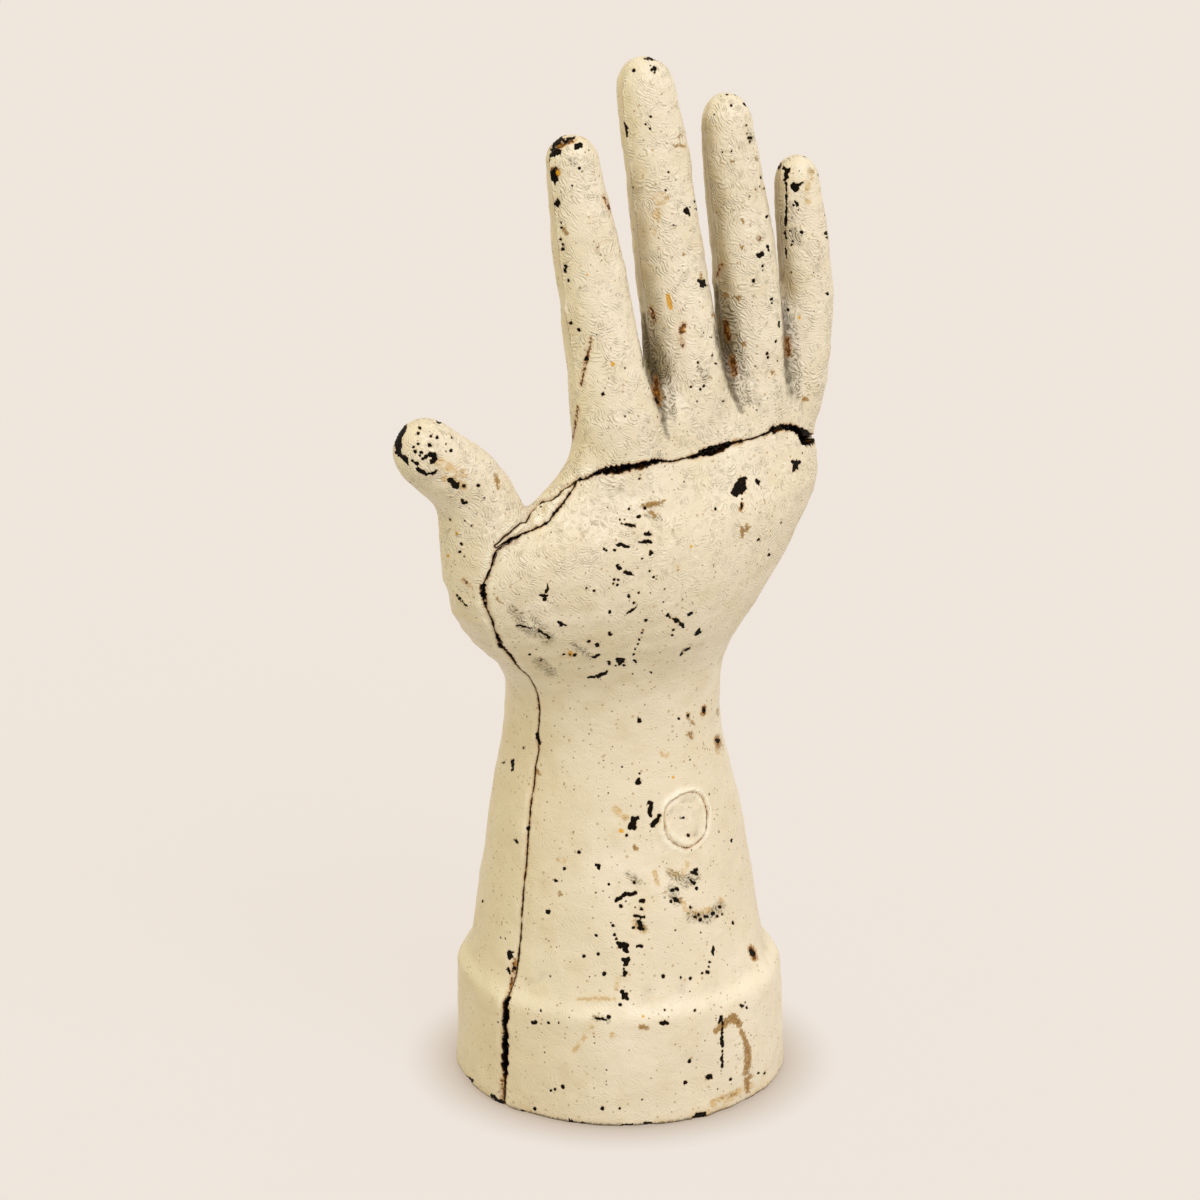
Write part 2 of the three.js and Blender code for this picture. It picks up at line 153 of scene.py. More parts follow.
# Relief in mm: the casting's own waves with their length and seed, then what lies on it
CASTING_WAVES = ((0.16, 26, 21), (0.07, 9, 22))
FINE_WAVE_MM = 0.05
FLASH_RIDGE_MM = 0.3
FLASH_FLAT_MM = 0.6
FLASH_RISE_MM = 0.5
GROOVE_MM = 0.4
SEAM_SINK_MM = 0.2
SEAM_SLOPE_MM = 0.1
FILLER_RISE_MM = 0.8
FILLER_LUMPS_MM = 0.4
PLUG_REACH_MM = 6
PLUG_LIP_MM = 0.62
PLUG_INNER_LIP = 0.6
PLUG_LIP_LIT_MM = 0.4
PLUG_LINE_MM = 0.3
PLUG_LUMPS_MM = 0.22
PLUG_SINK_MM = 0.15
# How much fainter the plug's dark line is painted on its lit side, as painted shade
PLUG_LIT_FADE_MM = 0.16
PLUG_BREAKS_MM = 0.22
CHIP_DEPTH_MM = 0.24
RUST_DEPTH_MM = 0.06
BRUSH_RELIEF_MM = 0.27
FLAKE_RELIEF_MM = 0.12
STEEL_RELIEF_MM = 0.03

# Colours of the paint, of what stains it, and of its painted shade and highlights
IVORY = (0.85, 0.745, 0.59, 1)
IVORY_PALE = (0.92, 0.825, 0.69, 1)
IVORY_YELLOW = (0.78, 0.65, 0.45, 1)
# Painted highlight: on brush crests, which are also rubbed clean, round the top of the foot, and on
# ridges beside the seams
HIGHLIGHT_IVORY = (0.98, 0.91, 0.76, 1)
# Dirt and painted shade in the furrows of the brush marks
FURROW_DIRT_AND_SHADE = (0.42, 0.33, 0.17, 1)
# Painted shade on the band beside the flash line, on the side of each finger turned from the light
STRIP_SHADE = (0.66, 0.56, 0.36, 1)
# Painted shade, with some dirt, where the hand hides itself from the light
OCCLUSION_SHADE = (0.36, 0.27, 0.11, 1)
IRON = (0.006, 0.0045, 0.003, 1)
BROWN = (0.045, 0.016, 0.004, 1)
RUST = (0.15, 0.046, 0.002, 1)
ORANGE = (0.50, 0.20, 0.02, 1)
TAN = (0.45, 0.27, 0.10, 1)
OCHRE = (0.31, 0.165, 0.05, 1)
AMBER = (0.66, 0.38, 0.05, 1)
YELLOW = (0.80, 0.40, 0.012, 1)
# Sooty streaks, partly painted shade along the valleys between the fingers
SOOT_AND_SHADE = (0.085, 0.064, 0.024, 1)
# Dirt and painted shade in hollows, and painted shadow in the grooves between the fingers
GRIME_AND_SHADE = (0.055, 0.036, 0.011, 1)

# Tints of the gloss, and colours of the steel
WHITE = (1, 1, 1, 1)
DULL_TINT = (0.12, 0.1, 0.08, 1)
STEEL_DARK = (0.24, 0.23, 0.22, 1)
STEEL_PALE = (0.36, 0.35, 0.33, 1)

# Brush marks: length and pitch in mm of their two sizes, and how far they bend and curve
BRUSH_LAYERS = ((3.9, 0.86), (2.7, 0.72))
BRUSH_DRIFT = (2.2, 2.2, 2.2)
BRUSH_ARC = (7, 7, 6)

# Faint specks: spacing in mm, share of cells left plain, radius in mm, colour and strength
FAINT_SPECKS = (
    (2.0, 0.92, 0.27, BROWN, 0.9),
    (1.3, 0.80, 0.21, RUST, 0.65),
    (1.7, 0.70, 0.32, TAN, 0.55),
)

# Floor, backdrop and light
BACKGROUND = (0.863, 0.785, 0.715, 1)
FLOOR_HALF = 6
FLOOR_DROP = 0.1 * MM
CONTACT_REACH = 17 * MM
CONTACT_SHADE = (0.68, 0.61, 0.52, 1)
PAPER = (0.52, 0.50, 0.48, 1)
PAPER_SHOWN = (0.940, 0.857, 0.799, 1)
PAPER_SHARE = 0.8
AMBIENT = (1.0, 0.895, 0.52, 1)
AMBIENT_STRENGTH = 0.84
KEY_WAY = (0.40, 0.484, 0.651)
KEY_SPREAD = math.radians(40)
KEY_STRENGTH = 1.56
KEY_COLOUR = (0.65, 0.72, 1.0)

# Marks are placed in zoomed windows of the photograph: left, top and magnification
FINGERS = (380, 30, 3.267)
PALM = (370, 380, 3.2)
FOREARM = (430, 640, 3.0745)

# Places where the seam stands open, as lines of window points with the half width in mm
OPENINGS = {
    PALM: (
        ((742, 284, 0.3), (756, 281, 0.9), (800, 277, 1.1), (860, 268, 1.1), (905, 261, 0.7)),
        ((905, 261, 0.8), (930, 258, 0.35), (945, 257, 0.1)),
        ((1052, 246, 0.3), (1070, 238, 0.9), (1105, 226, 1.1), (1130, 215, 0.9), (1160, 200, 0.3)),
        ((1278, 163, 0.3), (1292, 156, 0.8), (1320, 148, 0.7), (1345, 148, 0.4)),
        ((1362, 158, 0.7), (1385, 172, 1.2), (1410, 190, 1.3)), ((357, 684, 0.5), (361, 692, 0.5)),
        ((410, 842, 0.4), (428, 862, 0.5), (445, 882, 0.3)),
    ),
    FOREARM: (
        ((228, 1122, 0.9), (232, 1180, 1.2), (230, 1260, 1.3), (226, 1335, 1.0), (225, 1350, 0.4)),
    ),
}

# Joint filler in the fold of the thumb, as a stroke of window points with their radius
FILLER_SHAPE = {
    PALM: (
        ((672, 322, 8), (648, 346, 13), (622, 374, 17), (598, 400, 22), (566, 420, 31),
         (534, 446, 27), (508, 466, 16), (478, 480, 15), (446, 500, 9), (404, 532, 4)),
    ),
}

# Grooves between the fingers, as strokes of window points with their radius; they are sunk in the relief
# and darkened with painted shadow
GROOVES = {
    FINGERS: (
        ((852, 930, 4), (866, 1020, 12), (882, 1090, 18), (900, 1150, 18)),
        ((900, 1150, 18), (914, 1220, 13), (930, 1290, 5), (940, 1340, 0)),
        ((1094, 840, 5), (1106, 930, 14), (1122, 1020, 20), (1138, 1100, 20)),
        ((1138, 1100, 20), (1157, 1180, 13), (1182, 1250, 2)),
        ((1322, 900, 3), (1330, 1010, 11), (1338, 1120, 9), (1345, 1210, 0)),
    ),
}

# Bare iron, as strokes of window points with their radius in window pixels
CHIPS = {
    FINGERS: (
        ((549, 430, 4), (553, 412, 7), (570, 398, 13), (584, 396, 8)),
        ((560, 390, 7), (572, 368, 8), (590, 354, 8)),
        ((592, 354, 6), (607, 364, 5), (616, 352, 4), (632, 350, 5)),
        ((638, 388, 4), (644, 381, 8), (654, 374, 8), (659, 381, 4)),
        ((569, 456, 8), (565, 475, 8), (570, 490, 8), (572, 502, 4)),
        ((576, 554, 4), (577, 566, 6), (577, 575, 3)),
        ((865, 92, 3), (880, 90, 4), (894, 92, 4), (906, 96, 2)), ((890, 128, 6), (900, 126, 6)),
        ((897, 122, 4), (898, 137, 3)), ((799, 302, 3), (801, 318, 5), (805, 334, 4), (808, 346, 2)),
        ((997, 590, 6), (1010, 598, 5)), ((1003, 583, 3), (1012, 605, 3)),
        ((1044, 820, 4), (1055, 828, 8), (1066, 835, 5)), ((1062, 820, 5), (1052, 836, 4)),
        ((1193, 240, 5), (1200, 247, 4)), ((1238, 737, 7), (1249, 731, 6)),
        ((1267, 706, 3), (1267, 717, 5)), ((1303, 955, 3), (1303, 970, 4)),
        ((1300, 448, 4), (1308, 437, 3)), ((1316, 450, 5), (1332, 462, 6), (1337, 455, 3)),
        ((1322, 470, 5), (1330, 482, 5), (1320, 490, 3)),
        ((1349, 512, 8), (1360, 519, 8), (1352, 500, 4)), ((1364, 505, 4), (1379, 499, 3)),
        ((1398, 413, 3), (1408, 421, 3)), ((1437, 464, 3), (1434, 474, 3)),
        ((1325, 500, 3), (1325, 530, 2), (1327, 570, 3), (1326, 620, 3), (1326, 685, 2)),
        ((1327, 715, 2), (1328, 743, 2)), ((1355, 560, 3), (1364, 574, 4)),
        ((1484, 885, 3), (1484, 918, 3)), ((606, 772, 4), (605, 790, 4)),
        ((905, 1205, 6), (912, 1215, 5)),
    ),
    PALM: (
        ((94, 236, 6), (89, 212, 9), (92, 188, 11), (102, 166, 10), (115, 148, 5)),
        ((88, 232, 6), (103, 246, 8), (114, 256, 6), (122, 271, 3)),
        ((196, 239, 8), (208, 240, 8), (210, 252, 7), (201, 260, 8), (196, 267, 4)),
        ((152, 286, 6), (166, 290, 7), (180, 299, 5), (204, 301, 4), (213, 290, 3)),
        ((258, 321, 6), (265, 332, 8), (276, 344, 8), (286, 335, 3)), ((293, 710, 3), (306, 722, 3)),
        ((1196, 316, 8), (1190, 328, 14), (1184, 346, 19), (1172, 360, 12), (1160, 362, 5)),
        ((1239, 322, 5), (1239, 332, 5)), ((1190, 399, 4), (1187, 410, 4)),
        ((1352, 261, 6), (1366, 265, 8), (1358, 280, 9), (1355, 290, 5)),
        ((1352, 152, 5), (1374, 164, 11), (1394, 176, 16), (1410, 188, 9)),
        ((1290, 158, 6), (1318, 150, 7), (1340, 148, 5)), ((864, 432, 3), (857, 438, 3)),
        ((806, 459, 2), (820, 463, 3), (848, 467, 2)), ((882, 494, 5), (900, 494, 4)),
        ((893, 484, 2), (891, 495, 3)), ((860, 519, 2), (876, 520, 3), (890, 517, 6), (899, 521, 3)),
        ((792, 531, 4), (803, 526, 6), (818, 533, 3), (830, 535, 2)), ((749, 543, 3), (756, 546, 3)),
        ((793, 598, 4), (799, 606, 6)), ((815, 614, 3), (828, 619, 5), (842, 625, 3)),
        ((828, 692, 4), (829, 707, 2)), ((845, 712, 4), (841, 722, 2)),
        ((815, 752, 2), (828, 744, 3), (840, 736, 4), (851, 728, 3)),
        ((548, 690, 4), (560, 692, 7), (561, 702, 4)), ((568, 651, 3), (567, 668, 2), (564, 682, 3)),
        ((604, 774, 4), (612, 782, 6), (623, 786, 4)), ((765, 808, 3), (770, 816, 4)),
        ((708, 890, 3), (718, 886, 6), (732, 880, 3)), ((792, 893, 5), (800, 901, 9), (812, 898, 5)),
        ((697, 953, 2), (716, 948, 3), (736, 941, 6), (757, 933, 3)), ((845, 898, 2), (851, 906, 3)),
        ((953, 751, 4), (958, 758, 2)),
        ((968, 765, 3), (978, 769, 5), (990, 773, 4), (998, 783, 5), (1004, 792, 4)),
        ((1018, 753, 3), (1028, 748, 5)), ((1041, 814, 4), (1052, 803, 6)),
        ((995, 878, 3), (1004, 868, 3), (1024, 855, 3)), ((472, 785, 4), (484, 788, 3), (516, 793, 2)),
        ((540, 799, 3), (556, 812, 2), (572, 825, 4)), ((352, 684, 5), (360, 688, 8), (368, 690, 4)),
    ),
    FOREARM: (
        ((640, 428, 4), (638, 438, 7), (645, 437, 3)),
        ((672, 500, 6), (683, 503, 5), (677, 512, 6), (675, 528, 6), (678, 541, 4)),
        ((704, 541, 5), (697, 552, 7), (688, 565, 7), (683, 574, 4)),
        ((638, 546, 6), (628, 555, 8), (622, 570, 8), (630, 580, 5)), ((614, 578, 5), (621, 546, 4)),
        ((253, 370, 3), (253, 386, 4), (252, 400, 3)), ((330, 290, 5), (331, 302, 6), (336, 316, 5)),
        ((260, 614, 3), (268, 622, 4)), ((510, 692, 3), (520, 690, 4), (519, 700, 3)),
        ((243, 963, 8), (243, 975, 8)), ((240, 1012, 4), (243, 1022, 4)),
        ((570, 803, 3), (578, 797, 4), (590, 790, 4), (602, 782, 5), (615, 782, 5), (633, 779, 4)),
        ((646, 802, 5), (656, 803, 5)), ((648, 826, 4), (654, 829, 4)),
        ((631, 848, 6), (646, 850, 6), (656, 852, 4)), ((640, 864, 4), (650, 877, 6), (644, 889, 5)),
        ((577, 931, 6), (590, 938, 8), (604, 938, 7), (597, 949, 5)), ((636, 942, 4), (648, 942, 4)),
        ((596, 981, 6), (604, 983, 9), (601, 994, 6), (612, 977, 5)),
        ((595, 1015, 4), (602, 1022, 5), (600, 1031, 3)),
        ((590, 1080, 5), (600, 1089, 8), (591, 1101, 5)), ((870, 948, 4), (870, 957, 6), (868, 967, 4)),
        ((806, 716, 6), (817, 720, 6)), ((798, 738, 4), (812, 746, 4)),
        ((742, 789, 5), (752, 796, 6), (761, 804, 4)), ((988, 955, 5), (992, 966, 6)),
        ((505, 1163, 2), (524, 1165, 3), (542, 1168, 2)),
        ((710, 1178, 5), (721, 1177, 7), (728, 1179, 4)), ((895, 1160, 4), (887, 1180, 3)),
        ((897, 1176, 3), (897, 1200, 4), (896, 1222, 3), (898, 1250, 3)),
        ((898, 1262, 3), (896, 1286, 3), (897, 1310, 3)),
        ((854, 1348, 5), (862, 1342, 7), (868, 1331, 3)), ((112, 1346, 5), (124, 1357, 6)),
        ((190, 1402, 4), (208, 1415, 6), (224, 1423, 5)), ((280, 1453, 6), (296, 1459, 7)),
        ((428, 1480, 5), (448, 1488, 6), (480, 1490, 4)),
        ((596, 1498, 6), (618, 1496, 8), (636, 1500, 5)),
        ((660, 1491, 6), (676, 1494, 9), (690, 1498, 6)),
        ((812, 1474, 7), (822, 1466, 10), (840, 1461, 8)),
        ((918, 1453, 6), (938, 1443, 7), (958, 1437, 4)),
        ((982, 1419, 6), (1000, 1410, 7), (1008, 1406, 4)),
        ((1030, 1401, 3), (1048, 1384, 4), (1062, 1368, 4)),
    ),
}

# Single specks of bare iron: window point and radius in window pixels
SPECKS = {
    FINGERS: (
        (628, 337, 2), (652, 452, 3), (661, 464, 3), (628, 510, 3), (592, 684, 3), (589, 630, 2),
        (590, 646, 2), (596, 700, 3), (596, 716, 3), (613, 821, 4), (624, 957, 3), (650, 981, 3),
        (726, 1191, 3), (673, 1075, 5), (828, 131, 4), (776, 290, 2), (885, 283, 2), (867, 308, 2),
        (881, 323, 2), (943, 464, 2), (934, 525, 3), (1028, 560, 2), (1035, 585, 2), (1085, 1063, 2),
        (1085, 1005, 2), (1097, 1090, 2), (1121, 1213, 3), (1057, 1165, 2), (1147, 246, 3),
        (1195, 313, 3), (1135, 206, 3), (1163, 207, 3), (1211, 352, 4), (1197, 339, 2), (1203, 353, 3),
        (1209, 365, 2), (1147, 397, 3), (1119, 398, 2), (1229, 520, 2), (1254, 518, 2), (1265, 610, 3),
        (1248, 770, 2), (1250, 785, 2), (1219, 820, 3), (1280, 878, 3), (1281, 893, 2), (1265, 1058, 4),
        (1268, 1070, 3), (1292, 1017, 3), (1187, 822, 2), (1385, 411, 3), (1350, 572, 2), (1367, 588, 2),
        (1458, 603, 3), (1457, 665, 4), (1460, 678, 3), (1464, 862, 4), (1332, 915, 3), (1368, 407, 2),
        (604, 337, 2), (1338, 655, 2), (1350, 690, 2), (1372, 690, 2), (1378, 660, 2), (1345, 703, 2),
        (1040, 1088, 3), (1015, 1165, 2), (1225, 1100, 2), (712, 710, 2), (1247, 481, 2),
    ),
    PALM: (
        (221, 132, 6), (158, 151, 3), (154, 170, 3), (195, 178, 3), (190, 208, 6), (154, 205, 3),
        (215, 181, 3), (220, 206, 2), (245, 205, 2), (250, 211, 2), (261, 227, 4), (262, 183, 2),
        (140, 215, 3), (143, 228, 4), (164, 232, 4), (180, 246, 4), (170, 252, 3), (150, 266, 5),
        (160, 241, 3), (135, 259, 3), (303, 342, 4), (349, 338, 3), (296, 390, 3), (300, 398, 4),
        (308, 397, 3), (291, 524, 3), (288, 550, 4), (278, 690, 3), (284, 700, 3), (255, 448, 2),
        (323, 467, 2), (868, 305, 2), (865, 317, 2), (1105, 413, 3), (880, 410, 3), (829, 413, 3),
        (815, 446, 3), (800, 446, 2), (818, 497, 2), (900, 552, 5), (785, 545, 3), (869, 573, 2),
        (782, 640, 3), (780, 653, 2), (795, 642, 2), (792, 657, 2), (895, 612, 3), (908, 630, 3),
        (916, 636, 2), (860, 680, 3), (716, 676, 3), (693, 668, 2), (768, 743, 3), (882, 768, 3),
        (873, 800, 2), (868, 811, 2), (862, 833, 2), (857, 846, 2), (849, 862, 2), (844, 880, 2),
        (940, 711, 3), (727, 849, 6), (700, 836, 3), (640, 880, 2), (656, 880, 3), (765, 905, 4),
        (785, 912, 2), (812, 913, 3), (969, 799, 3), (967, 816, 3), (1318, 447, 2), (1316, 456, 2),
        (1245, 512, 3), (1277, 560, 3), (1370, 470, 2), (1027, 847, 2), (548, 898, 3), (510, 880, 2),
        (620, 878, 2), (897, 558, 2), (840, 938, 2), (900, 937, 2), (745, 45, 4), (1130, 70, 3),
        (1057, 30, 2),
    ),
    FOREARM: (
        (644, 249, 6), (765, 243, 3), (645, 410, 2), (222, 377, 2), (287, 331, 2), (303, 580, 6),
        (600, 548, 3), (605, 601, 2), (458, 653, 4), (412, 704, 3), (385, 740, 4), (550, 752, 2),
        (160, 803, 2), (365, 835, 6), (320, 873, 2), (628, 747, 4), (588, 818, 4), (625, 885, 3),
        (655, 889, 4), (562, 878, 4), (567, 906, 2), (573, 918, 3), (605, 957, 4), (511, 908, 2),
        (518, 965, 3), (475, 973, 4), (535, 1027, 4), (585, 1121, 3), (605, 1101, 4), (819, 707, 4),
        (795, 734, 3), (822, 765, 4), (745, 770, 4), (757, 765, 4), (740, 803, 4), (800, 822, 3),
        (815, 852, 4), (830, 860, 4), (850, 850, 4), (870, 841, 4), (885, 850, 3), (890, 820, 3),
        (825, 845, 3), (900, 845, 2), (935, 870, 3), (858, 990, 2), (856, 1005, 2), (852, 1021, 4),
        (835, 1025, 2), (800, 1040, 4), (772, 1038, 2), (718, 1035, 4), (322, 1176, 4), (316, 1176, 3),
        (395, 1178, 2), (363, 1178, 3), (340, 1140, 2), (548, 1158, 5), (815, 1140, 3), (960, 1125, 4),
        (975, 1130, 3), (922, 1350, 4), (1010, 1332, 2), (1030, 1332, 2), (800, 1297, 4), (787, 1362, 4),
        (409, 1373, 4), (383, 1383, 4), (371, 1386, 2), (529, 1441, 5), (583, 1441, 2), (319, 1444, 4),
        (792, 232, 3), (842, 216, 5), (887, 310, 6), (780, 548, 3), (797, 602, 3), (255, 1010, 5),
        (722, 1137, 2), (929, 616, 2),
    ),
}

# Coloured stains, as strokes of window points with their radius in window pixels
STAINS = {
    "rust": {
        FINGERS: (
            ((580, 380, 8), (600, 372, 7), (625, 362, 6)), ((575, 462, 14), (572, 480, 10)),
            ((730, 545, 3), (740, 562, 3), (752, 592, 3)),
            ((689, 1005, 2), (685, 1040, 3), (672, 1075, 5), (668, 1110, 4), (656, 1160, 3)),
            ((648, 1232, 3), (638, 1290, 3), (628, 1332, 3), (618, 1360, 3)),
            ((993, 964, 7), (988, 984, 8), (982, 992, 5)), ((985, 1014, 7), (989, 1029, 6)),
            ((884, 905, 3), (890, 930, 5), (896, 950, 4)),
            ((897, 1135, 5), (903, 1165, 8), (909, 1195, 9), (913, 1218, 5)),
            ((1100, 800, 6), (1118, 765, 4)), ((1128, 955, 8), (1131, 985, 9), (1136, 1012, 7)),
            ((1148, 1068, 6), (1155, 1095, 9), (1160, 1122, 7)), ((1240, 680, 5), (1240, 686, 4)),
            ((1333, 1008, 5), (1336, 1030, 7), (1338, 1060, 6)),
        ),
        PALM: (
            ((1190, 400, 4), (1187, 410, 4)), ((300, 640, 3), (320, 662, 2)),
        ),
        FOREARM: (
            ((842, 208, 4), (841, 222, 4)), ((887, 308, 5), (889, 318, 4)),
            ((988, 950, 6), (992, 966, 8), (995, 976, 5)), ((842, 1462, 5), (812, 1472, 6)),
            ((222, 1350, 3), (223, 1420, 3)), ((258, 985, 3), (252, 1040, 4), (240, 1100, 3)),
        ),
    },
    "ochre": {
        FINGERS: (
            ((963, 380, 5), (975, 374, 4), (990, 382, 4)), ((972, 350, 3), (984, 338, 3)),
            ((598, 650, 6), (608, 664, 7)), ((981, 685, 5), (987, 686, 4)),
            ((1050, 800, 6), (1050, 815, 5)), ((993, 733, 6), (996, 734, 4)),
            ((1183, 618, 6), (1186, 630, 5)), ((1183, 710, 5), (1185, 716, 4)),
            ((1147, 427, 5), (1151, 429, 4)), ((1228, 420, 4), (1229, 425, 4)),
            ((1285, 1120, 8), (1288, 1126, 5)), ((1385, 1205, 9), (1395, 1209, 6)),
            ((1187, 1026, 8), (1190, 1032, 5)), ((1158, 874, 5), (1172, 873, 8)),
            ((1128, 862, 8), (1138, 870, 6)), ((1100, 930, 4), (1085, 932, 4)),
        ),
        PALM: (
            ((1190, 470, 4), (1196, 484, 8), (1193, 500, 4)),
            ((1206, 466, 4), (1204, 480, 6), (1216, 470, 3)), ((1190, 400, 7), (1187, 412, 7)),
            ((403, 305, 5), (408, 325, 6), (410, 346, 4)), ((870, 402, 6), (905, 398, 8), (940, 388, 5)),
            ((900, 420, 6), (910, 436, 7)), ((405, 700, 3), (425, 716, 3)),
        ),
        FOREARM: (
            ((878, 1203, 8), (892, 1190, 9), (912, 1172, 12), (932, 1160, 14), (950, 1180, 10)),
            ((958, 1205, 8), (966, 1225, 8), (974, 1262, 12), (974, 1300, 11), (969, 1330, 10)),
            ((973, 1352, 9), (986, 1340, 7)), ((975, 1362, 9), (978, 1388, 7)),
            ((940, 1395, 3), (890, 1412, 3)), ((652, 1190, 9), (664, 1192, 7)),
            ((630, 636, 8), (634, 644, 6)), ((397, 778, 6), (402, 781, 5)),
            ((985, 945, 8), (991, 963, 11), (996, 980, 8)), ((842, 208, 6), (840, 228, 7)),
            ((884, 216, 5), (885, 228, 4)), ((792, 230, 6), (793, 242, 5)),
            ((798, 250, 5), (812, 260, 5)), ((799, 288, 8), (803, 300, 6)),
            ((886, 300, 9), (889, 325, 8)), ((330, 400, 5), (336, 412, 4)),
        ),
    },
    "amber": {
        FINGERS: (
            ((895, 548, 5), (905, 538, 5), (925, 538, 5), (938, 552, 5), (925, 566, 5), (903, 566, 5)),
            ((900, 590, 10), (903, 625, 12), (903, 660, 8)),
            ((590, 372, 8), (610, 360, 6), (640, 356, 6), (665, 352, 6)), ((577, 463, 8), (580, 468, 6)),
            ((1405, 465, 10), (1410, 480, 8)), ((1395, 500, 8), (1400, 560, 8)),
            ((1160, 1345, 8), (1170, 1350, 6)),
        ),
        PALM: (
            ((615, 878, 5), (636, 880, 6), (655, 876, 5)), ((403, 312, 5), (408, 330, 6), (410, 346, 4)),
            ((225, 265, 12), (255, 285, 16), (300, 300, 14)), ((240, 315, 10), (300, 340, 12)),
            ((980, 598, 5), (982, 604, 4)),
        ),
        FOREARM: (
            ((720, 350, 8), (728, 352, 6)), ((500, 1190, 3), (470, 1228, 4), (440, 1266, 3)),
            ((580, 1040, 3), (570, 1072, 3)), ((330, 405, 6), (338, 408, 4)),
            ((690, 715, 5), (698, 750, 4)), ((735, 712, 6), (760, 722, 5)),
            ((790, 690, 7), (778, 720, 6)), ((770, 800, 6), (800, 845, 7), (860, 830, 8)),
            ((880, 850, 6), (893, 800, 4)), ((560, 1215, 6), (566, 1218, 4)),
            ((395, 675, 5), (415, 680, 4)), ((890, 320, 7), (884, 345, 5)),
            ((455, 1105, 2), (520, 1102, 3), (600, 1104, 1)), ((630, 870, 10), (655, 890, 12)),
            ((925, 1405, 10), (870, 1425, 9), (990, 1370, 8)), ((570, 520, 9), (600, 545, 9)),
        ),
    },
    "yellow": {
        FINGERS: (
            ((940, 868, 7), (944, 888, 9), (949, 909, 7)), ((677, 799, 4), (678, 800, 4)),
            ((760, 1091, 7), (762, 1093, 6)), ((1370, 938, 5), (1371, 940, 5)),
            ((580, 464, 6), (582, 470, 5)),
        ),
        PALM: (
            ((640, 872, 7), (645, 877, 6)), ((1027, 532, 5), (1029, 533, 4)),
            ((250, 562, 5), (251, 564, 5)), ((277, 490, 5), (278, 493, 5)),
        ),
        FOREARM: (
            ((587, 587, 7), (592, 588, 5)), ((748, 422, 5), (749, 423, 4)),
            ((655, 1157, 5), (657, 1158, 4)),
        ),
    },
    # Sooty streaks, partly painted shade: the long strokes in the finger window follow the valleys
    # between the fingers
    "soot_and_shade": {
        FINGERS: (
            ((618, 428, 6), (630, 432, 10), (642, 424, 5)), ((1352, 660, 14), (1368, 690, 12)),
            ((1045, 1105, 10), (1062, 1135, 12)), ((1340, 570, 6), (1345, 620, 7)),
            ((1205, 330, 5), (1210, 362, 6)),
            ((878, 930, 5), (892, 1000, 12), (915, 1080, 20), (938, 1180, 22), (952, 1260, 12)),
            ((1108, 840, 6), (1138, 920, 16), (1158, 1020, 22), (1178, 1120, 22), (1198, 1210, 16)),
            ((1345, 940, 6), (1356, 1040, 14), (1362, 1130, 12), (1366, 1200, 4)),
        ),
        PALM: (
            ((455, 735, 12), (475, 755, 16), (485, 780, 16)),
            ((500, 795, 14), (540, 808, 18), (575, 828, 16)), ((520, 765, 8), (560, 790, 8)),
            ((905, 405, 14), (930, 395, 10)), ((890, 430, 8), (920, 440, 8)),
            ((530, 900, 8), (560, 925, 8)), ((650, 845, 7), (700, 880, 8)),
        ),
        FOREARM: (
            ((735, 715, 10), (790, 745, 16), (815, 725, 16)), ((740, 765, 14), (758, 800, 14)),
            ((800, 850, 14), (850, 855, 16), (890, 820, 14)), ((640, 870, 10), (655, 885, 10)),
            ((610, 720, 8), (640, 745, 8)), ((505, 1160, 6), (545, 1168, 7)),
            ((885, 300, 7), (890, 330, 7)), ((800, 288, 6), (802, 300, 5)),
            ((335, 70, 14), (375, 100, 12)),
        ),
    },
}

right = Vector((math.cos(AZIMUTH), math.sin(AZIMUTH), 0))
back = Vector(
    (
        math.sin(AZIMUTH) * math.cos(ELEVATION),
        -math.cos(AZIMUTH) * math.cos(ELEVATION),
        math.sin(ELEVATION),
    )
)
up = back.cross(right)
target = Vector((0, 0, TARGET_HEIGHT)) + right * TARGET_SHIFT
eye = target + back * DISTANCE
FOCAL_PIXELS = PHOTO_SIDE * LENS_MM / SENSOR_MM
PIXELS_PER_MM = FOCAL_PIXELS / DISTANCE * MM


def linked(name, data):
    """New object in the scene."""
    made = bpy.data.objects.new(name, data)
    bpy.context.scene.collection.objects.link(made)
    return made


def add_camera():
    data = bpy.data.cameras.new("camera")
    data.lens = LENS_MM
    data.sensor_width = SENSOR_MM
    data.clip_start = 0.05
    data.clip_end = 50
    camera = linked("camera", data)
    camera.location = eye
    camera.rotation_euler = back.to_track_quat("Z", "Y").to_euler()
    bpy.context.scene.camera = camera


# Numpy tools for a triangle mesh


def arrays_of(mesh):
    points = np.empty(len(mesh.vertices) * 3, np.float32)
    mesh.vertices.foreach_get("co", points)
    mesh.calc_loop_triangles()
    faces = np.empty(len(mesh.loop_triangles) * 3, np.int32)
    mesh.loop_triangles.foreach_get("vertices", faces)
    return points.reshape(-1, 3).astype(float), faces.reshape(-1, 3).astype(int)


def tree_of(points, faces):
    return BVHTree.FromPolygons(points.tolist(), faces.tolist())


def sides_of(faces):
    """Each side of each face, from its first point to its second."""
    return np.concatenate([faces[:, [0, 1]], faces[:, [1, 2]], faces[:, [2, 0]]])


def edges_of(faces):
    return np.unique(np.sort(sides_of(faces), axis=1), axis=0)


def rim_of(faces, count):
    """The sides that no other face has."""
    sides = sides_of(faces)
    keys = sides[:, 0] * count + sides[:, 1]
    reverse = sides[:, 1] * count + sides[:, 0]
    return sides[~np.isin(keys, reverse)]


def compacted(rows, faces):
    """The mesh without the points that no face uses."""
    used, place = np.unique(faces, return_inverse=True)
    return rows[used], place.reshape(-1, 3)


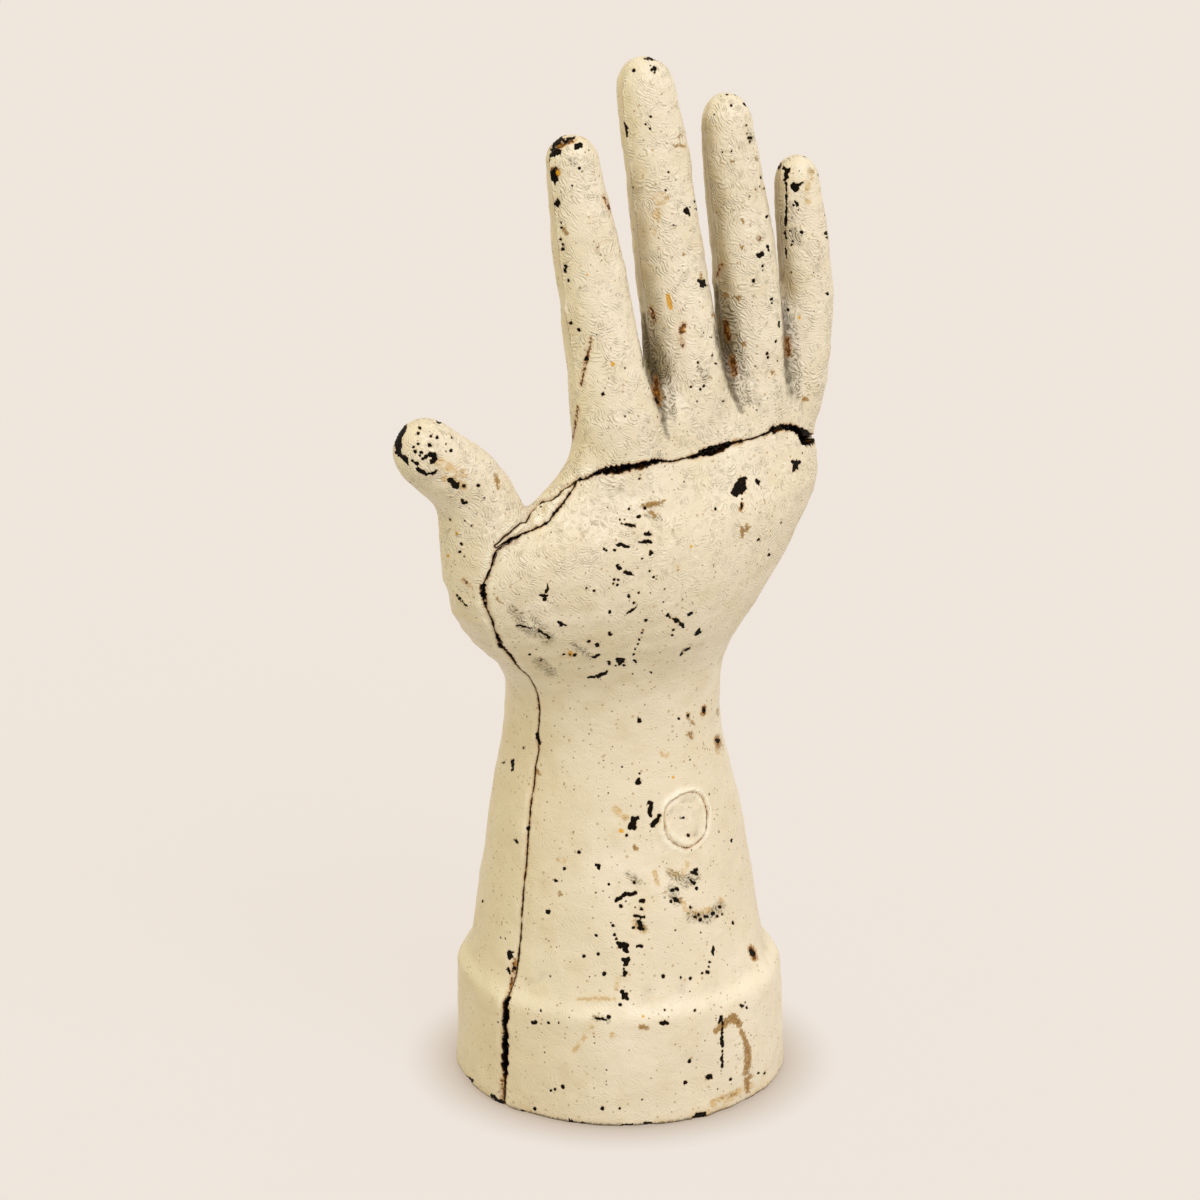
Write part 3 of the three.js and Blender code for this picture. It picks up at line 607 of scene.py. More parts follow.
def unit(vectors):
    return vectors / np.maximum(np.linalg.norm(vectors, axis=1, keepdims=True), 1e-15)


def normals_of(points, faces):
    a, b, c = points[faces[:, 0]], points[faces[:, 1]], points[faces[:, 2]]
    across = np.cross(b - a, c - a)
    normals = np.zeros_like(points)
    for corner in range(3):
        for axis in range(3):
            normals[:, axis] += np.bincount(faces[:, corner], across[:, axis], len(points))
    return unit(normals)


def smoothstep(low, high, values):
    t = np.clip((values - low) / (high - low), 0, 1)
    return t * t * (3 - 2 * t)


def bell(values, width):
    return np.exp(-((values / width) ** 2))


def waves(points, length_mm, seed):
    """A smooth random field of about unit height, from waves of about one length."""
    rng = np.random.default_rng(seed)
    ways = unit(rng.normal(size=(WAVE_COUNT, 3))) * rng.uniform(0.6, 1.5, (WAVE_COUNT, 1))
    starts = rng.uniform(0, 7, WAVE_COUNT)
    turns = points @ (ways.T * 2 * math.pi / (length_mm * MM)) + starts
    return np.sin(turns).sum(axis=1) / math.sqrt(WAVE_COUNT / 2)


class Averager:
    """Mean of the values of each point's neighbours."""

    def __init__(self, faces, count):
        edges = edges_of(faces)
        self.count = count
        self.start = np.concatenate([edges[:, 0], edges[:, 1]])
        self.end = np.concatenate([edges[:, 1], edges[:, 0]])
        self.valence = np.maximum(np.bincount(self.start, minlength=count), 1)

    def of(self, values):
        if values.ndim == 1:
            return np.bincount(self.start, values[self.end], self.count) / self.valence
        return np.stack([self.of(values[:, axis]) for axis in range(values.shape[1])], axis=1)

    def repeated(self, values, steps):
        for _ in range(steps):
            values = self.of(values)
        return values


def labels_of(faces, count):
    """A number for each point, alike on points that are connected."""
    label = np.arange(count)
    edges = edges_of(faces)
    while True:
        low = np.minimum(label[edges[:, 0]], label[edges[:, 1]])
        new = label.copy()
        np.minimum.at(new, edges[:, 0], low)
        np.minimum.at(new, edges[:, 1], low)
        new = new[new]
        if (new == label).all():
            return label
        label = new


def outermost(points, faces):
    """The connected part of a mesh that reaches highest."""
    label = labels_of(faces, len(points))
    kept = label == label[points[:, 2].argmax()]
    return compacted(points, faces[kept[faces].all(axis=1)])


def biggest_parts(faces, count):
    """Faces of the connected parts that have enough of them."""
    label = labels_of(faces, count)[faces[:, 0]]
    return faces[np.bincount(label, minlength=count)[label] >= LEAST_FACES]


def halved_faces(faces, split, at):
    """Faces cut at the middles of the sides that split marks, where at numbers the middles."""
    amount = split.sum(axis=1)
    pieces = [faces[amount == 0]]
    for turn in range(3):
        order = [turn, (turn + 1) % 3, (turn + 2) % 3]
        v, s, m = faces[:, order], split[:, order], at[:, order]
        one = (amount == 1) & s[:, 0]
        pieces += [
            np.stack([v[one, 0], m[one, 0], v[one, 2]], axis=1),
            np.stack([m[one, 0], v[one, 1], v[one, 2]], axis=1),
        ]
        two = (amount == 2) & s[:, 0] & s[:, 1]
        pieces += [
            np.stack([m[two, 0], v[two, 1], m[two, 1]], axis=1),
            np.stack([v[two, 0], m[two, 0], m[two, 1]], axis=1),
            np.stack([v[two, 0], m[two, 1], v[two, 2]], axis=1),
        ]
    full = amount == 3
    v, m = faces[full], at[full]
    pieces += [
        np.stack([v[:, 0], m[:, 0], m[:, 2]], axis=1),
        np.stack([m[:, 0], v[:, 1], m[:, 1]], axis=1),
        np.stack([m[:, 2], m[:, 1], v[:, 2]], axis=1),
        m,
    ]
    return np.concatenate(pieces)


def refined(points, base, faces, marked):
    """The mesh with the edges between marked points halved, on the curve of their normals."""
    normals = normals_of(points, faces)
    count = len(points)
    corners = np.stack([faces, np.roll(faces, -1, axis=1)], axis=2)
    keys = np.sort(corners, axis=2)
    keys = keys[..., 0] * count + keys[..., 1]
    split = marked[corners].all(axis=2)
    unique = np.unique(keys[split])
    a, b = unique // count, unique % count
    middle = (points[a] + points[b]) / 2
    for end in (a, b):
        off = ((middle - points[end]) * normals[end]).sum(axis=1, keepdims=True)
        middle = middle - CURVE_SHARE * off * normals[end]
    points = np.concatenate([points, middle])
    base = np.concatenate([base, (base[a] + base[b]) / 2])
    return points, base, halved_faces(faces, split, count + np.searchsorted(unique, keys))


def clipped(values, faces, columns):
    """The part of a surface where values are negative. Columns are carried to new points."""
    inside = values < 0
    amount = inside[faces].sum(axis=1)
    count = len(values)
    cuts = []
    for odd in (1, 2):
        mixed = faces[amount == odd]
        lone = (inside[mixed] == (odd == 1)).argmax(axis=1)
        rows = np.arange(len(mixed))
        cuts.append(np.stack([mixed[rows, (lone + k) % 3] for k in range(3)], axis=1))
    pairs = np.concatenate([cut[:, ends] for cut in cuts for ends in ([0, 1], [0, 2])])
    keys = np.sort(pairs, axis=1)
    keys = keys[:, 0] * count + keys[:, 1]
    unique, at = np.unique(keys, return_inverse=True)
    a, b = unique // count, unique % count
    share = np.clip(values[a] / (values[a] - values[b]), *CUT_SHARES)[:, None]
    columns = np.concatenate([columns, columns[a] * (1 - share) + columns[b] * share])
    at = at.reshape(-1) + count
    one, two = len(cuts[0]), len(cuts[1])
    p, q = at[:one], at[one : 2 * one]
    r, s = at[2 * one : 2 * one + two], at[2 * one + two :]
    kept = [
        faces[amount == 3],
        np.stack([cuts[0][:, 0], p, q], axis=1),
        np.stack([r, cuts[1][:, 1], cuts[1][:, 2]], axis=1),
        np.stack([r, cuts[1][:, 2], s], axis=1),
    ]
    return compacted(columns, np.concatenate(kept))


# The master surface


def fused_solids():
    """One surface round all the solids that show, with the gaps between them closed."""
    joined = bmesh.new()
    for name in SKIN_NODES:
        part = bmesh.new()
        part.from_mesh(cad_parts[name].data)
        bmesh.ops.remove_doubles(part, verts=part.verts, dist=WELD)
        part.normal_update()
        for vertex in part.verts:
            vertex.co += vertex.normal * SWELL
        mesh = bpy.data.meshes.new("part")
        part.to_mesh(mesh)
        part.free()
        joined.from_mesh(mesh)
    mesh = bpy.data.meshes.new("joined")
    joined.to_mesh(mesh)
    joined.free()
    made = linked("joined", mesh)
    remesh = made.modifiers.new("remesh", "REMESH")
    remesh.mode = "VOXEL"
    remesh.voxel_size = VOXEL
    depsgraph = bpy.context.evaluated_depsgraph_get()
    fine = bpy.data.meshes.new_from_object(made.evaluated_get(depsgraph))
    bpy.data.objects.remove(made)
    return outermost(*arrays_of(fine))


def relaxed(points, faces):
    """Rounded hollows first, then the steps of the voxels evened out."""
    averager = Averager(faces, len(points))
    for step in range(FILL_STEPS):
        if step % FILL_STEPS_PER_NORMAL == 0:
            normals = normals_of(points, faces)
        lift = ((averager.of(points) - points) * normals).sum(axis=1)
        points = points + normals * np.maximum(lift, 0)[:, None]
    for _ in range(EVEN_STEPS):
        points = points + EVEN_SHARES[0] * (averager.of(points) - points)
        points = points - EVEN_SHARES[1] * (averager.of(points) - points)
    return points


def shelter_of(points, faces):
    """Share of the rays outward from each point that meet the hand again."""
    rng = np.random.default_rng(SHELTER_SEED)
    normals = normals_of(points, faces)
    tree = tree_of(points, faces)
    starts = points + normals * SHELTER_LIFT
    met = np.zeros(len(points))
    for _ in range(SHELTER_RAYS):
        ways = unit(normals + unit(rng.normal(size=points.shape)) * SHELTER_SPREAD)
        met += [
            tree.ray_cast(start, way, SHELTER_REACH)[0] is not None
            for start, way in zip(starts.tolist(), ways.tolist())
        ]
    met /= SHELTER_RAYS
    averager = Averager(faces, len(points))
    for _ in range(SHELTER_STEPS):
        met = (met + averager.of(met)) / 2
    return met


# Marks and seams, as distances in mm at every point


def distances_to_solids(base, trees):
    """Distance in mm from each point to each solid, up to a reach."""
    found = np.full((len(base), len(trees)), SEAM_REACH / MM)
    for i, tree in enumerate(trees):
        hits = [tree.find_nearest(point, SEAM_REACH)[3] for point in base.tolist()]
        found[:, i] = [SEAM_REACH / MM if hit is None else hit / MM for hit in hits]
    return found


def photo_of(points):
    """Photograph pixel of each point, left to right and top to bottom."""
    off = points - np.array(eye)
    depth = -off @ np.array(back)
    x = PHOTO_SIDE / 2 + FOCAL_PIXELS * (off @ np.array(right)) / depth
    y = PHOTO_SIDE / 2 - FOCAL_PIXELS * (off @ np.array(up)) / depth
    return np.stack([x, y], axis=1)


def facing_camera(points, normals):
    """Points turned to the camera, and those just round the outline from them."""
    view = unit(np.array(eye) - points)
    return (normals * view).sum(axis=1) > FACING_LEAST


def seen_from_camera(points, normals, facing, tree):
    """Facing points that nothing hides from the camera."""
    view = unit(np.array(eye) - points)
    seen = np.zeros(len(points), bool)
    for lift in SEEN_LIFTS:
        starts = points + normals * lift
        for i in np.flatnonzero(facing & ~seen):
            seen[i] = tree.ray_cast(Vector(starts[i]), Vector(view[i]))[0] is None
    return seen


def stroke_distance(spots, stroke):
    """Signed distance from spots to a stroke of round points, in the stroke's own units."""
    if len(stroke) == 1:
        return np.linalg.norm(spots - stroke[0, :2], axis=1) - stroke[0, 2]
    nearest = np.full(len(spots), np.inf)
    for start, end in zip(stroke[:-1], stroke[1:]):
        along = end[:2] - start[:2]
        share = ((spots - start[:2]) @ along) / max(along @ along, 1e-9)
        share = np.clip(share, 0, 1)
        off = np.linalg.norm(spots - start[:2] - share[:, None] * along, axis=1)
        nearest = np.minimum(nearest, off - start[2] - share * (end[2] - start[2]))
    return nearest


def window_distance(photo, seen, window, strokes):
    """Signed distance in mm, as the camera sees it, to the nearest of a window's strokes."""
    left, top, zoom = window
    to_mm = 1 / (zoom * PIXELS_PER_MM)
    nearest = np.full(len(photo), float(MARK_REACH_MM))
    index = np.flatnonzero(seen)
    spots = (photo[index] - (left, top)) * zoom
    for stroke in strokes:
        stroke = np.array(stroke, float)
        reach = stroke[:, 2].max() + MARK_REACH_MM / to_mm
        low, high = stroke[:, :2].min(axis=0) - reach, stroke[:, :2].max(axis=0) + reach
        near = ((spots > low) & (spots < high)).all(axis=1)
        found = stroke_distance(spots[near], stroke) * to_mm
        at = index[near]
        nearest[at] = np.minimum(nearest[at], found)
    return nearest


def marks_distance(photo, seen, marks):
    """Signed distance in mm to the nearest stroke, where marks has the strokes of each window."""
    found = [window_distance(photo, seen, window, strokes) for window, strokes in marks.items()]
    return np.min(found, axis=0)


def spheres_distance(points, spheres):
    nearest = np.full(len(points), float(MARK_REACH_MM))
    for centre, radius in spheres:
        reach = (radius + MARK_REACH_MM) * MM
        near = np.flatnonzero((np.abs(points - centre) < reach).all(axis=1))
        found = np.linalg.norm(points[near] - centre, axis=1) / MM - radius
        nearest[near] = np.minimum(nearest[near], found)
    return nearest


def unseen_chips(points, weight, rng):
    """Centres and radii in mm of the chips, in clusters of one to three."""
    chips = []
    for i in rng.choice(len(points), UNSEEN_CHIPS, p=weight / weight.sum()):
        size = UNSEEN_CHIP_MM + rng.exponential(UNSEEN_CHIP_MM)
        if rng.random() < UNSEEN_LARGE_SHARE:
            size += rng.uniform(*UNSEEN_LARGE_MM)
        for _ in range(rng.integers(1, 4)):
            centre = points[i] + rng.normal(size=3) * size * UNSEEN_CHIP_SPREAD * MM
            chips.append((centre, size * rng.uniform(*UNSEEN_CHIP_SIZES)))
    return chips


def unseen_stains(points, weight, rng):
    """Centres and radii in mm of the rust stains, in clusters of small spots."""
    stains = []
    for i in rng.choice(len(points), UNSEEN_STAINS, p=weight / weight.sum()):
        for _ in range(UNSEEN_STAIN_SPOTS):
            centre = points[i] + rng.normal(size=3) * UNSEEN_STAIN_SPREAD_MM * MM
            stains.append((centre, rng.uniform(*UNSEEN_STAIN_MM)))
    return stains


def unseen_marks(points, normals, seen):
    """Chips and stains for the sides that the camera doesn't see.

    Chips are thickest round the foot, on the tips and in some patches.
    """
    rng = np.random.default_rng(UNSEEN_SEED)
    hidden = ~seen & (normals[:, 2] > -0.9)
    weight = 0.25 + bell(points[:, 2] / MM, 5) * 5 + (waves(points, 45, 3) > 0.9) * 2.5
    weight = weight + (normals[:, 2] > 0.6) * 1.5
    chips = unseen_chips(points, np.where(hidden, weight, 0), rng)
    plain = np.where(hidden & (normals[:, 2] < 0.6), 1.0, 0.0)
    return chips, unseen_stains(points, plain, rng)


def opening_of(points, photo, seen):
    """Half the width of the seam in mm at every point."""
    half = np.full(len(points), SEAM_HALF_MM)
    for window, lines in OPENINGS.items():
        for line in lines:
            middle = [(x, y, 0) for x, y, _ in line]
            wide = [(x, y, size * window[2] * PIXELS_PER_MM) for x, y, size in line]
            away = window_distance(photo, seen, window, (middle,))
            within = window_distance(photo, seen, window, (wide,))
            open_half = np.where(away < MARK_REACH_MM, away - within, 0) + SEAM_HALF_MM / 2
            half = np.maximum(half, open_half)
    ragged = np.where(half > 2 * SEAM_HALF_MM, OPEN_RAGGED_MM, CLOSED_RAGGED_MM)
    return half + ragged * (waves(points, 3.5, 12) + 0.6 * waves(points, 1.6, 13))


def cuts_of(solids, points, photo, seen):
    """Signed distance in mm from each point to the edge of each skin, negative on the skin."""
    half = opening_of(points, photo, seen)
    side = solids[:, PALM_SIDE] - np.minimum(solids[:, BACK], solids[:, FILLER])
    around = np.minimum(solids[:, BACK], solids[:, PALM_SIDE])
    plug = solids[:, PLUG] - around + PLUG_RAGGED_MM * waves(points, 9, 8)
    filler = marks_distance(photo, seen, FILLER_SHAPE)
    filler = filler + FILLER_RAGGED_MM * waves(points, 3, 9)
    cuts = np.empty((len(points), len(SKIN_NODES)))
    cuts[:, BACK] = np.maximum(half - side, FILLER_HALF_MM - filler)
    cuts[:, FILLER] = np.maximum(half - side, FILLER_HALF_MM + filler)
    cuts[:, PALM_SIDE] = np.maximum(half + side, PLUG_HALF_MM - plug)
    cuts[:, PLUG] = PLUG_HALF_MM + plug
    return cuts


def chips_of(points, photo, seen, spheres):
    """Signed distance in mm to the edge of the bare iron."""
    chip = np.minimum(spheres_distance(points, spheres), marks_distance(photo, seen, CHIPS))
    ragged = 0.13 * waves(points, 2.2, 5) + 0.09 * waves(points, 1.1, 6)
    dots = {
        window: [((x, y, radius + SPECK_SPREAD),) for x, y, radius in specks]
        for window, specks in SPECKS.items()
    }
    speck = marks_distance(photo, seen, dots) + SPECK_RAGGED * ragged
    return np.minimum(chip + ragged, speck)


def fields_of(points, base, faces, trees, unseen):
    """All the marks and seams. The unseen marks are chosen on the first call and then kept."""
    normals = normals_of(points, faces)
    photo = photo_of(points)
    facing = facing_camera(points, normals)
    seen = seen_from_camera(points, normals, facing, tree_of(points, faces))
    if unseen is None:
        unseen = unseen_marks(points, normals, seen)
    chips, stains = unseen
    fields = {kind: marks_distance(photo, seen, marks) for kind, marks in STAINS.items()}
    fields["rust"] = np.minimum(fields["rust"], spheres_distance(points, stains))
    fields["shaded_groove"] = marks_distance(photo, facing, GROOVES)
    fields["chip"] = chips_of(points, photo, seen, chips)
    fields["cut"] = cuts_of(distances_to_solids(base[:, :3], trees), points, photo, seen)
    fields["normals"] = normals
    return fields, unseen


def flash_of(points, faces):
    """Signed distance in mm from the flash line, and how strongly it shows."""
    smoothed = Averager(faces, len(points)).repeated(normals_of(points, faces), FLASH_STEPS)
    normals = unit(smoothed)
    line = normals @ np.array((math.sin(FLASH_TURN), math.cos(FLASH_TURN), 0)) * FLASH_RADIUS_MM
    low, high = FINGER_HEIGHTS
    on_fingers = smoothstep(low * MM, high * MM, points[:, 2])
    return line, on_fingers * smoothstep(0.75, 0.3, normals[:, 2])


def marked_points(fields, line, on_fingers, reach, stains_too):
    """Points so near to a mark or a seam that the mesh has to be finer there."""
    near = np.minimum(fields["chip"], np.abs(fields["cut"]).min(axis=1))
    near = np.minimum(near, np.where(on_fingers > 0, np.abs(line), MARK_REACH_MM))
    if stains_too:
        near = np.minimum(near, np.min([fields[kind] for kind in STAINS], axis=0))
    return near < reach


# Relief in mm outwards


def seam_distance(cut):
    """Distance in mm to the seams, apart from the one round the plug."""
    seam = np.abs(cut[:, [BACK, PALM_SIDE, FILLER]]).min(axis=1)
    return np.where(np.abs(cut[:, PLUG]) < 1.5, MARK_REACH_MM, seam)


def plug_light(points):
    """How far each point lies on the lit side of the plug, from -1 to 1."""
    low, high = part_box("screw_plug")
    off = (points - (np.array(low) + np.array(high)) / 2) / MM
    return unit(off) @ (np.array(right) * -0.7 + np.array((0, 0, 0.7)))


def plug_relief(points, edge, light):
    """Lip of paint round the plug, higher on the lit side, and the sunken plug inside it."""
    lip = PLUG_LIP_MM + PLUG_LIP_LIT_MM * light
    relief = lip * (bell(edge - 1.05, 0.75) + PLUG_INNER_LIP * bell(edge + 1.2, 0.8))
    relief -= PLUG_LINE_MM * bell(edge, 0.35)
    lumps = PLUG_LUMPS_MM * waves(points, 4.5, 31) - PLUG_SINK_MM
    relief += smoothstep(-0.4, -1.6, edge) * lumps
    return np.where(np.abs(edge) < PLUG_REACH_MM, relief, 0)


def plug_seam(points, edge, light):
    """Distance in mm to the line round the plug, greater on the lit side so that the dark line is
    painted fainter there: painted shade, darker away from the light.
    """
    bridged = PLUG_LIT_FADE_MM * smoothstep(-0.5, 0.9, light)
    return np.abs(edge) + bridged + PLUG_BREAKS_MM * np.maximum(waves(points, 3, 34), 0)


def finger_relief(line, on_fingers):
    """Ridge that the mould left along each finger, and the flat beside it."""
    ridge = FLASH_RIDGE_MM * bell(line, 0.5) - FLASH_FLAT_MM * smoothstep(-0.2, 2.4, line)
    return on_fingers * (ridge + FLASH_RISE_MM * smoothstep(2.6, 6.0, line))


def casting_relief(points, height):
    """Unevenness of the casting itself, with more of the finest waves on the hand."""
    relief = sum(depth * waves(points, length, seed) for depth, length, seed in CASTING_WAVES)
    fine = 0.3 + 0.7 * smoothstep(*HAND_HEIGHTS, height)
    return relief + FINE_WAVE_MM * waves(points, 4, 23) * fine


def marks_relief(points, fields, seam):
    """Grooves, seams, joint filler, chips and rust."""
    relief = -GROOVE_MM * smoothstep(1.2, -1.1, fields["shaded_groove"])
    relief -= SEAM_SINK_MM * bell(seam, 0.7) + SEAM_SLOPE_MM * bell(seam, 2.4)
    on_filler = smoothstep(0.2, -1.2, fields["cut"][:, FILLER])
    relief += on_filler * (FILLER_RISE_MM + FILLER_LUMPS_MM * waves(points, 3.4, 33))
    relief -= CHIP_DEPTH_MM * smoothstep(0.12, -0.12, fields["chip"])
    return relief - RUST_DEPTH_MM * smoothstep(0.2, -0.4, fields["rust"])


# Skins of the pieces, cut from the surface


def mesh_object(name, rows, faces, names):
    """Object on the body root, whose rows are a place, a normal and the named fields."""
    mesh = bpy.data.meshes.new(name)
    mesh.from_pydata(rows[:, :3].tolist(), [], faces.tolist())
    mesh.polygons.foreach_set("use_smooth", [True] * len(mesh.polygons))
    mesh.set_sharp_from_angle(angle=SHARP_ANGLE)
    for i, field in enumerate(names):
        data = mesh.attributes.new(field, "FLOAT", "POINT").data
        data.foreach_set("value", rows[:, 6 + i].astype(np.float32))
    made = linked(name, mesh)
    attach(made, "root")
    return made


def skin(name, values, depth_mm, faces, columns, names):
    """Piece of the surface where values are negative, with a wall inwards round its edge."""
    rows, kept = clipped(values, faces, columns)
    rows, kept = compacted(rows, biggest_parts(kept, len(rows)))
    rim = rim_of(kept, len(rows))
    edge = np.unique(rim)
    inner = rows[edge]
    inner[:, :3] -= inner[:, 3:6] * depth_mm * MM
    inner[:, 6 + names.index("seam")] = -1
    place = np.zeros(len(rows), int)
    place[edge] = len(rows) + np.arange(len(edge))
    a, b = rim[:, 0], rim[:, 1]
    walls = [np.stack([b, a, place[a]], axis=1), np.stack([b, place[a], place[b]], axis=1)]
    rows = np.concatenate([rows, inner])
    return mesh_object(name, rows, np.concatenate([kept, *walls]), names)


# Shader graphs


class Graph:
    """Short ways to add shader nodes to a material or a world."""

    def __init__(self, owner):
        owner.use_nodes = True
        self.nodes = owner.node_tree.nodes
        self.links = owner.node_tree.links

    def put(self, socket, value):
        if isinstance(value, bpy.types.NodeSocket):
            self.links.new(value, socket)
        else:
            socket.default_value = value

    def add(self, kind, inputs=(), **settings):
        node = self.nodes.new(kind)
        for key, value in settings.items():
            setattr(node, key, value)
        for key, value in dict(inputs).items():
            self.put(node.inputs[key], value)
        return node

    def math(self, operation, *values, clamp=False):
        inputs = dict(enumerate(values))
        node = self.add("ShaderNodeMath", inputs, operation=operation, use_clamp=clamp)
        return node.outputs[0]

    def times(self, first, second):
        return self.math("MULTIPLY", first, second)

    def minus(self, first, second):
        return self.math("SUBTRACT", first, second)

    def scaled(self, value, factor, added, clamp=False):
        return self.math("MULTIPLY_ADD", value, factor, added, clamp=clamp)

    def most(self, first, *others):
        for other in others:
            first = self.math("MAXIMUM", first, other)
        return first

    def vector(self, operation, first, second):
        node = self.add("ShaderNodeVectorMath", {0: first, 1: second}, operation=operation)
        return node.outputs["Value" if operation == "DISTANCE" else "Vector"]

    def step(self, value, low, high, out_low=0, out_high=1):
        inputs = {
            "Value": value,
            "From Min": low,
            "From Max": high,
            "To Min": out_low,
            "To Max": out_high,
        }
        node = self.add("ShaderNodeMapRange", inputs, interpolation_type="SMOOTHSTEP")
        return node.outputs[0]

    def mix(self, share, first, second, blend="MIX"):
        node = self.add("ShaderNodeMix", data_type="RGBA", blend_type=blend)
        self.put(node.inputs[0], share)
        self.put(node.inputs[6], first)
        self.put(node.inputs[7], second)
        return node.outputs[2]

    def looked_at(self):
        """One for what the camera sees, straight or by gloss or glass, and none for plain light."""
        path = self.add("ShaderNodeLightPath")
        kinds = ("Is Camera Ray", "Is Glossy Ray", "Is Transmission Ray")
        return self.most(*(path.outputs[kind] for kind in kinds))

    def show(self, share, first, second, output):
        """Mixes two shaders into an output node."""
        inputs = {0: share, 1: first.outputs[0], 2: second.outputs[0]}
        mixed = self.add("ShaderNodeMixShader", inputs)
        self.put(self.nodes[output].inputs["Surface"], mixed.outputs[0])


class Surface(Graph):
    """Material with patterns that are placed in mm on the object."""

    def __init__(self, name):
        self.material = bpy.data.materials.new(name)
        super().__init__(self.material)
        self.shader = self.nodes["Principled BSDF"]
        inputs = {0: self.add("ShaderNodeTexCoord").outputs["Object"], "Scale": 1 / MM}
        self.place = self.add("ShaderNodeVectorMath", inputs, operation="SCALE").outputs[0]

    def set(self, name, value):
        self.put(self.shader.inputs[name], value)

    def attribute(self, name):
        return self.add("ShaderNodeAttribute", attribute_name=name).outputs["Fac"]

    def noise(self, length, detail=2, rough=0.5, output="Fac", stretch=None):
        place = self.place if stretch is None else self.vector("MULTIPLY", self.place, stretch)
        inputs = {"Vector": place, "Scale": 1 / length, "Detail": detail, "Roughness": rough}
        return self.add("ShaderNodeTexNoise", inputs).outputs[output]

    def bump(self, height, distance, normal=None):
        inputs = {"Height": height, "Distance": distance}
        if normal is not None:
            inputs["Normal"] = normal
        return self.add("ShaderNodeBump", inputs).outputs[0]


def brush_marks(g):
    """Short curved ridges of a stiff brush: in each patch, rings about a point beside it."""
    drift = g.vector("SUBTRACT", g.noise(2.6, detail=1, output="Color"), (0.5, 0.5, 0.5))
    bent = g.vector("ADD", g.place, g.vector("MULTIPLY", drift, BRUSH_DRIFT))
    layers = []
    for length, pitch in BRUSH_LAYERS:
        inputs = {"Vector": bent, "Scale": 1 / length}
        patch = g.add("ShaderNodeTexVoronoi", inputs)
        rim = g.add("ShaderNodeTexVoronoi", inputs, feature="DISTANCE_TO_EDGE")
        aside = g.vector("SUBTRACT", patch.outputs["Color"], (0.2, 0.75, 0.1))
        centre = g.vector("MULTIPLY", aside, BRUSH_ARC)
        centre = g.vector("ADD", patch.outputs["Position"], centre)
        away = g.vector("DISTANCE", bent, centre)
        wave = g.math("SINE", g.times(away, 2 * math.pi / pitch))
        wave = g.times(wave, g.step(rim.outputs["Distance"], 0.0, 0.14))
        layers.append(g.scaled(wave, 0.5, 0.5))
    choice = g.step(g.noise(5, detail=1), 0.42, 0.58)
    ridges = g.add("ShaderNodeMix", {0: choice, 2: layers[0], 3: layers[1]}).outputs[0]
    force = g.step(g.noise(5.5), 0.32, 0.60, 0.35, 1)
    return g.scaled(g.minus(ridges, 0.5), force, 0.5)


class Enamel(Surface):
    """Painted material, with the patterns that its layers share and the colour they build up."""

    def __init__(self, name):
        super().__init__(name)
        self.height = self.attribute("height")
        self.seam = self.attribute("seam")
        self.hollow = self.attribute("hollow")
        self.fingers = self.attribute("fingers")
        self.ridges = brush_marks(self)
        self.grain = self.noise(0.8, detail=3, rough=0.6)
        self.small = self.noise(2.2, detail=3)
        self.medium = self.noise(9, detail=3)
        self.flecks = self.noise(0.45)
        self.edge = self.minus(self.noise(0.9, detail=4, rough=0.7), 0.5)
        self.colour = IVORY

    def cover(self, share, colour):
        self.colour = self.mix(share, self.colour, colour)

    def ragged(self, distance, reach):
        """A distance in mm with its even edge broken up."""
        return self.scaled(self.edge, reach, distance)


def paint_with_shade_and_highlights(g, strip_shade, brushed):
    """Colour of the paint before its stains and wear: paler higher up and in patches, yellower patches,
    dirt and painted shade in brush furrows, painted highlight on brush crests, painted shade beside the
    flash line and where the hand hides itself, and painted highlights round the top of the foot and on
    ridges beside the seams.
    """
    pale = g.step(g.height, *PALE_HEIGHTS, 0, 0.8)
    g.cover(g.most(g.step(g.noise(38), 0.4, 0.7), pale), IVORY_PALE)
    g.cover(g.times(g.step(g.medium, 0.46, 0.74), 0.5), IVORY_YELLOW)
    # Dirt and painted shade in the furrows of the brush marks, and painted highlight on their crests
    furrow_dirt_and_shade = g.times(g.step(g.ridges, 0.35, 0.0), g.step(g.grain, 0.62, 0.40))
    g.cover(g.times(furrow_dirt_and_shade, g.scaled(brushed, 0.3, 0.04)), FURROW_DIRT_AND_SHADE)
    crest_highlight = g.times(g.step(g.ridges, 0.5, 0.9), brushed)
    g.cover(g.times(crest_highlight, 0.45), HIGHLIGHT_IVORY)
    # Painted shade on the band beside the flash line
    g.cover(g.times(strip_shade, 0.3), STRIP_SHADE)
    # Painted shade, with some dirt, where rays outward meet the hand again
    occlusion_shade = g.step(g.attribute("occlusion_shade"), 0.24, 0.62)
    g.cover(g.times(occlusion_shade, g.step(g.medium, 0.2, 0.6, 0.3, 0.62)), OCCLUSION_SHADE)
    # Painted highlight round the top of the foot
    shoulder_highlight = g.step(g.math("ABSOLUTE", g.minus(g.height, SHOULDER_HIGHLIGHT_HEIGHT)), 3.2, 0.6)
    g.cover(g.times(shoulder_highlight, g.step(g.medium, 0.35, 0.65, 0.1, 0.45)), HIGHLIGHT_IVORY)
    # Painted highlight on ridges near the seams and the plug
    ridge_highlight = g.times(g.step(g.hollow, -0.08, -0.4), g.step(g.seam, 2.6, 1.4, 0, 0.7))
    g.cover(ridge_highlight, HIGHLIGHT_IVORY)


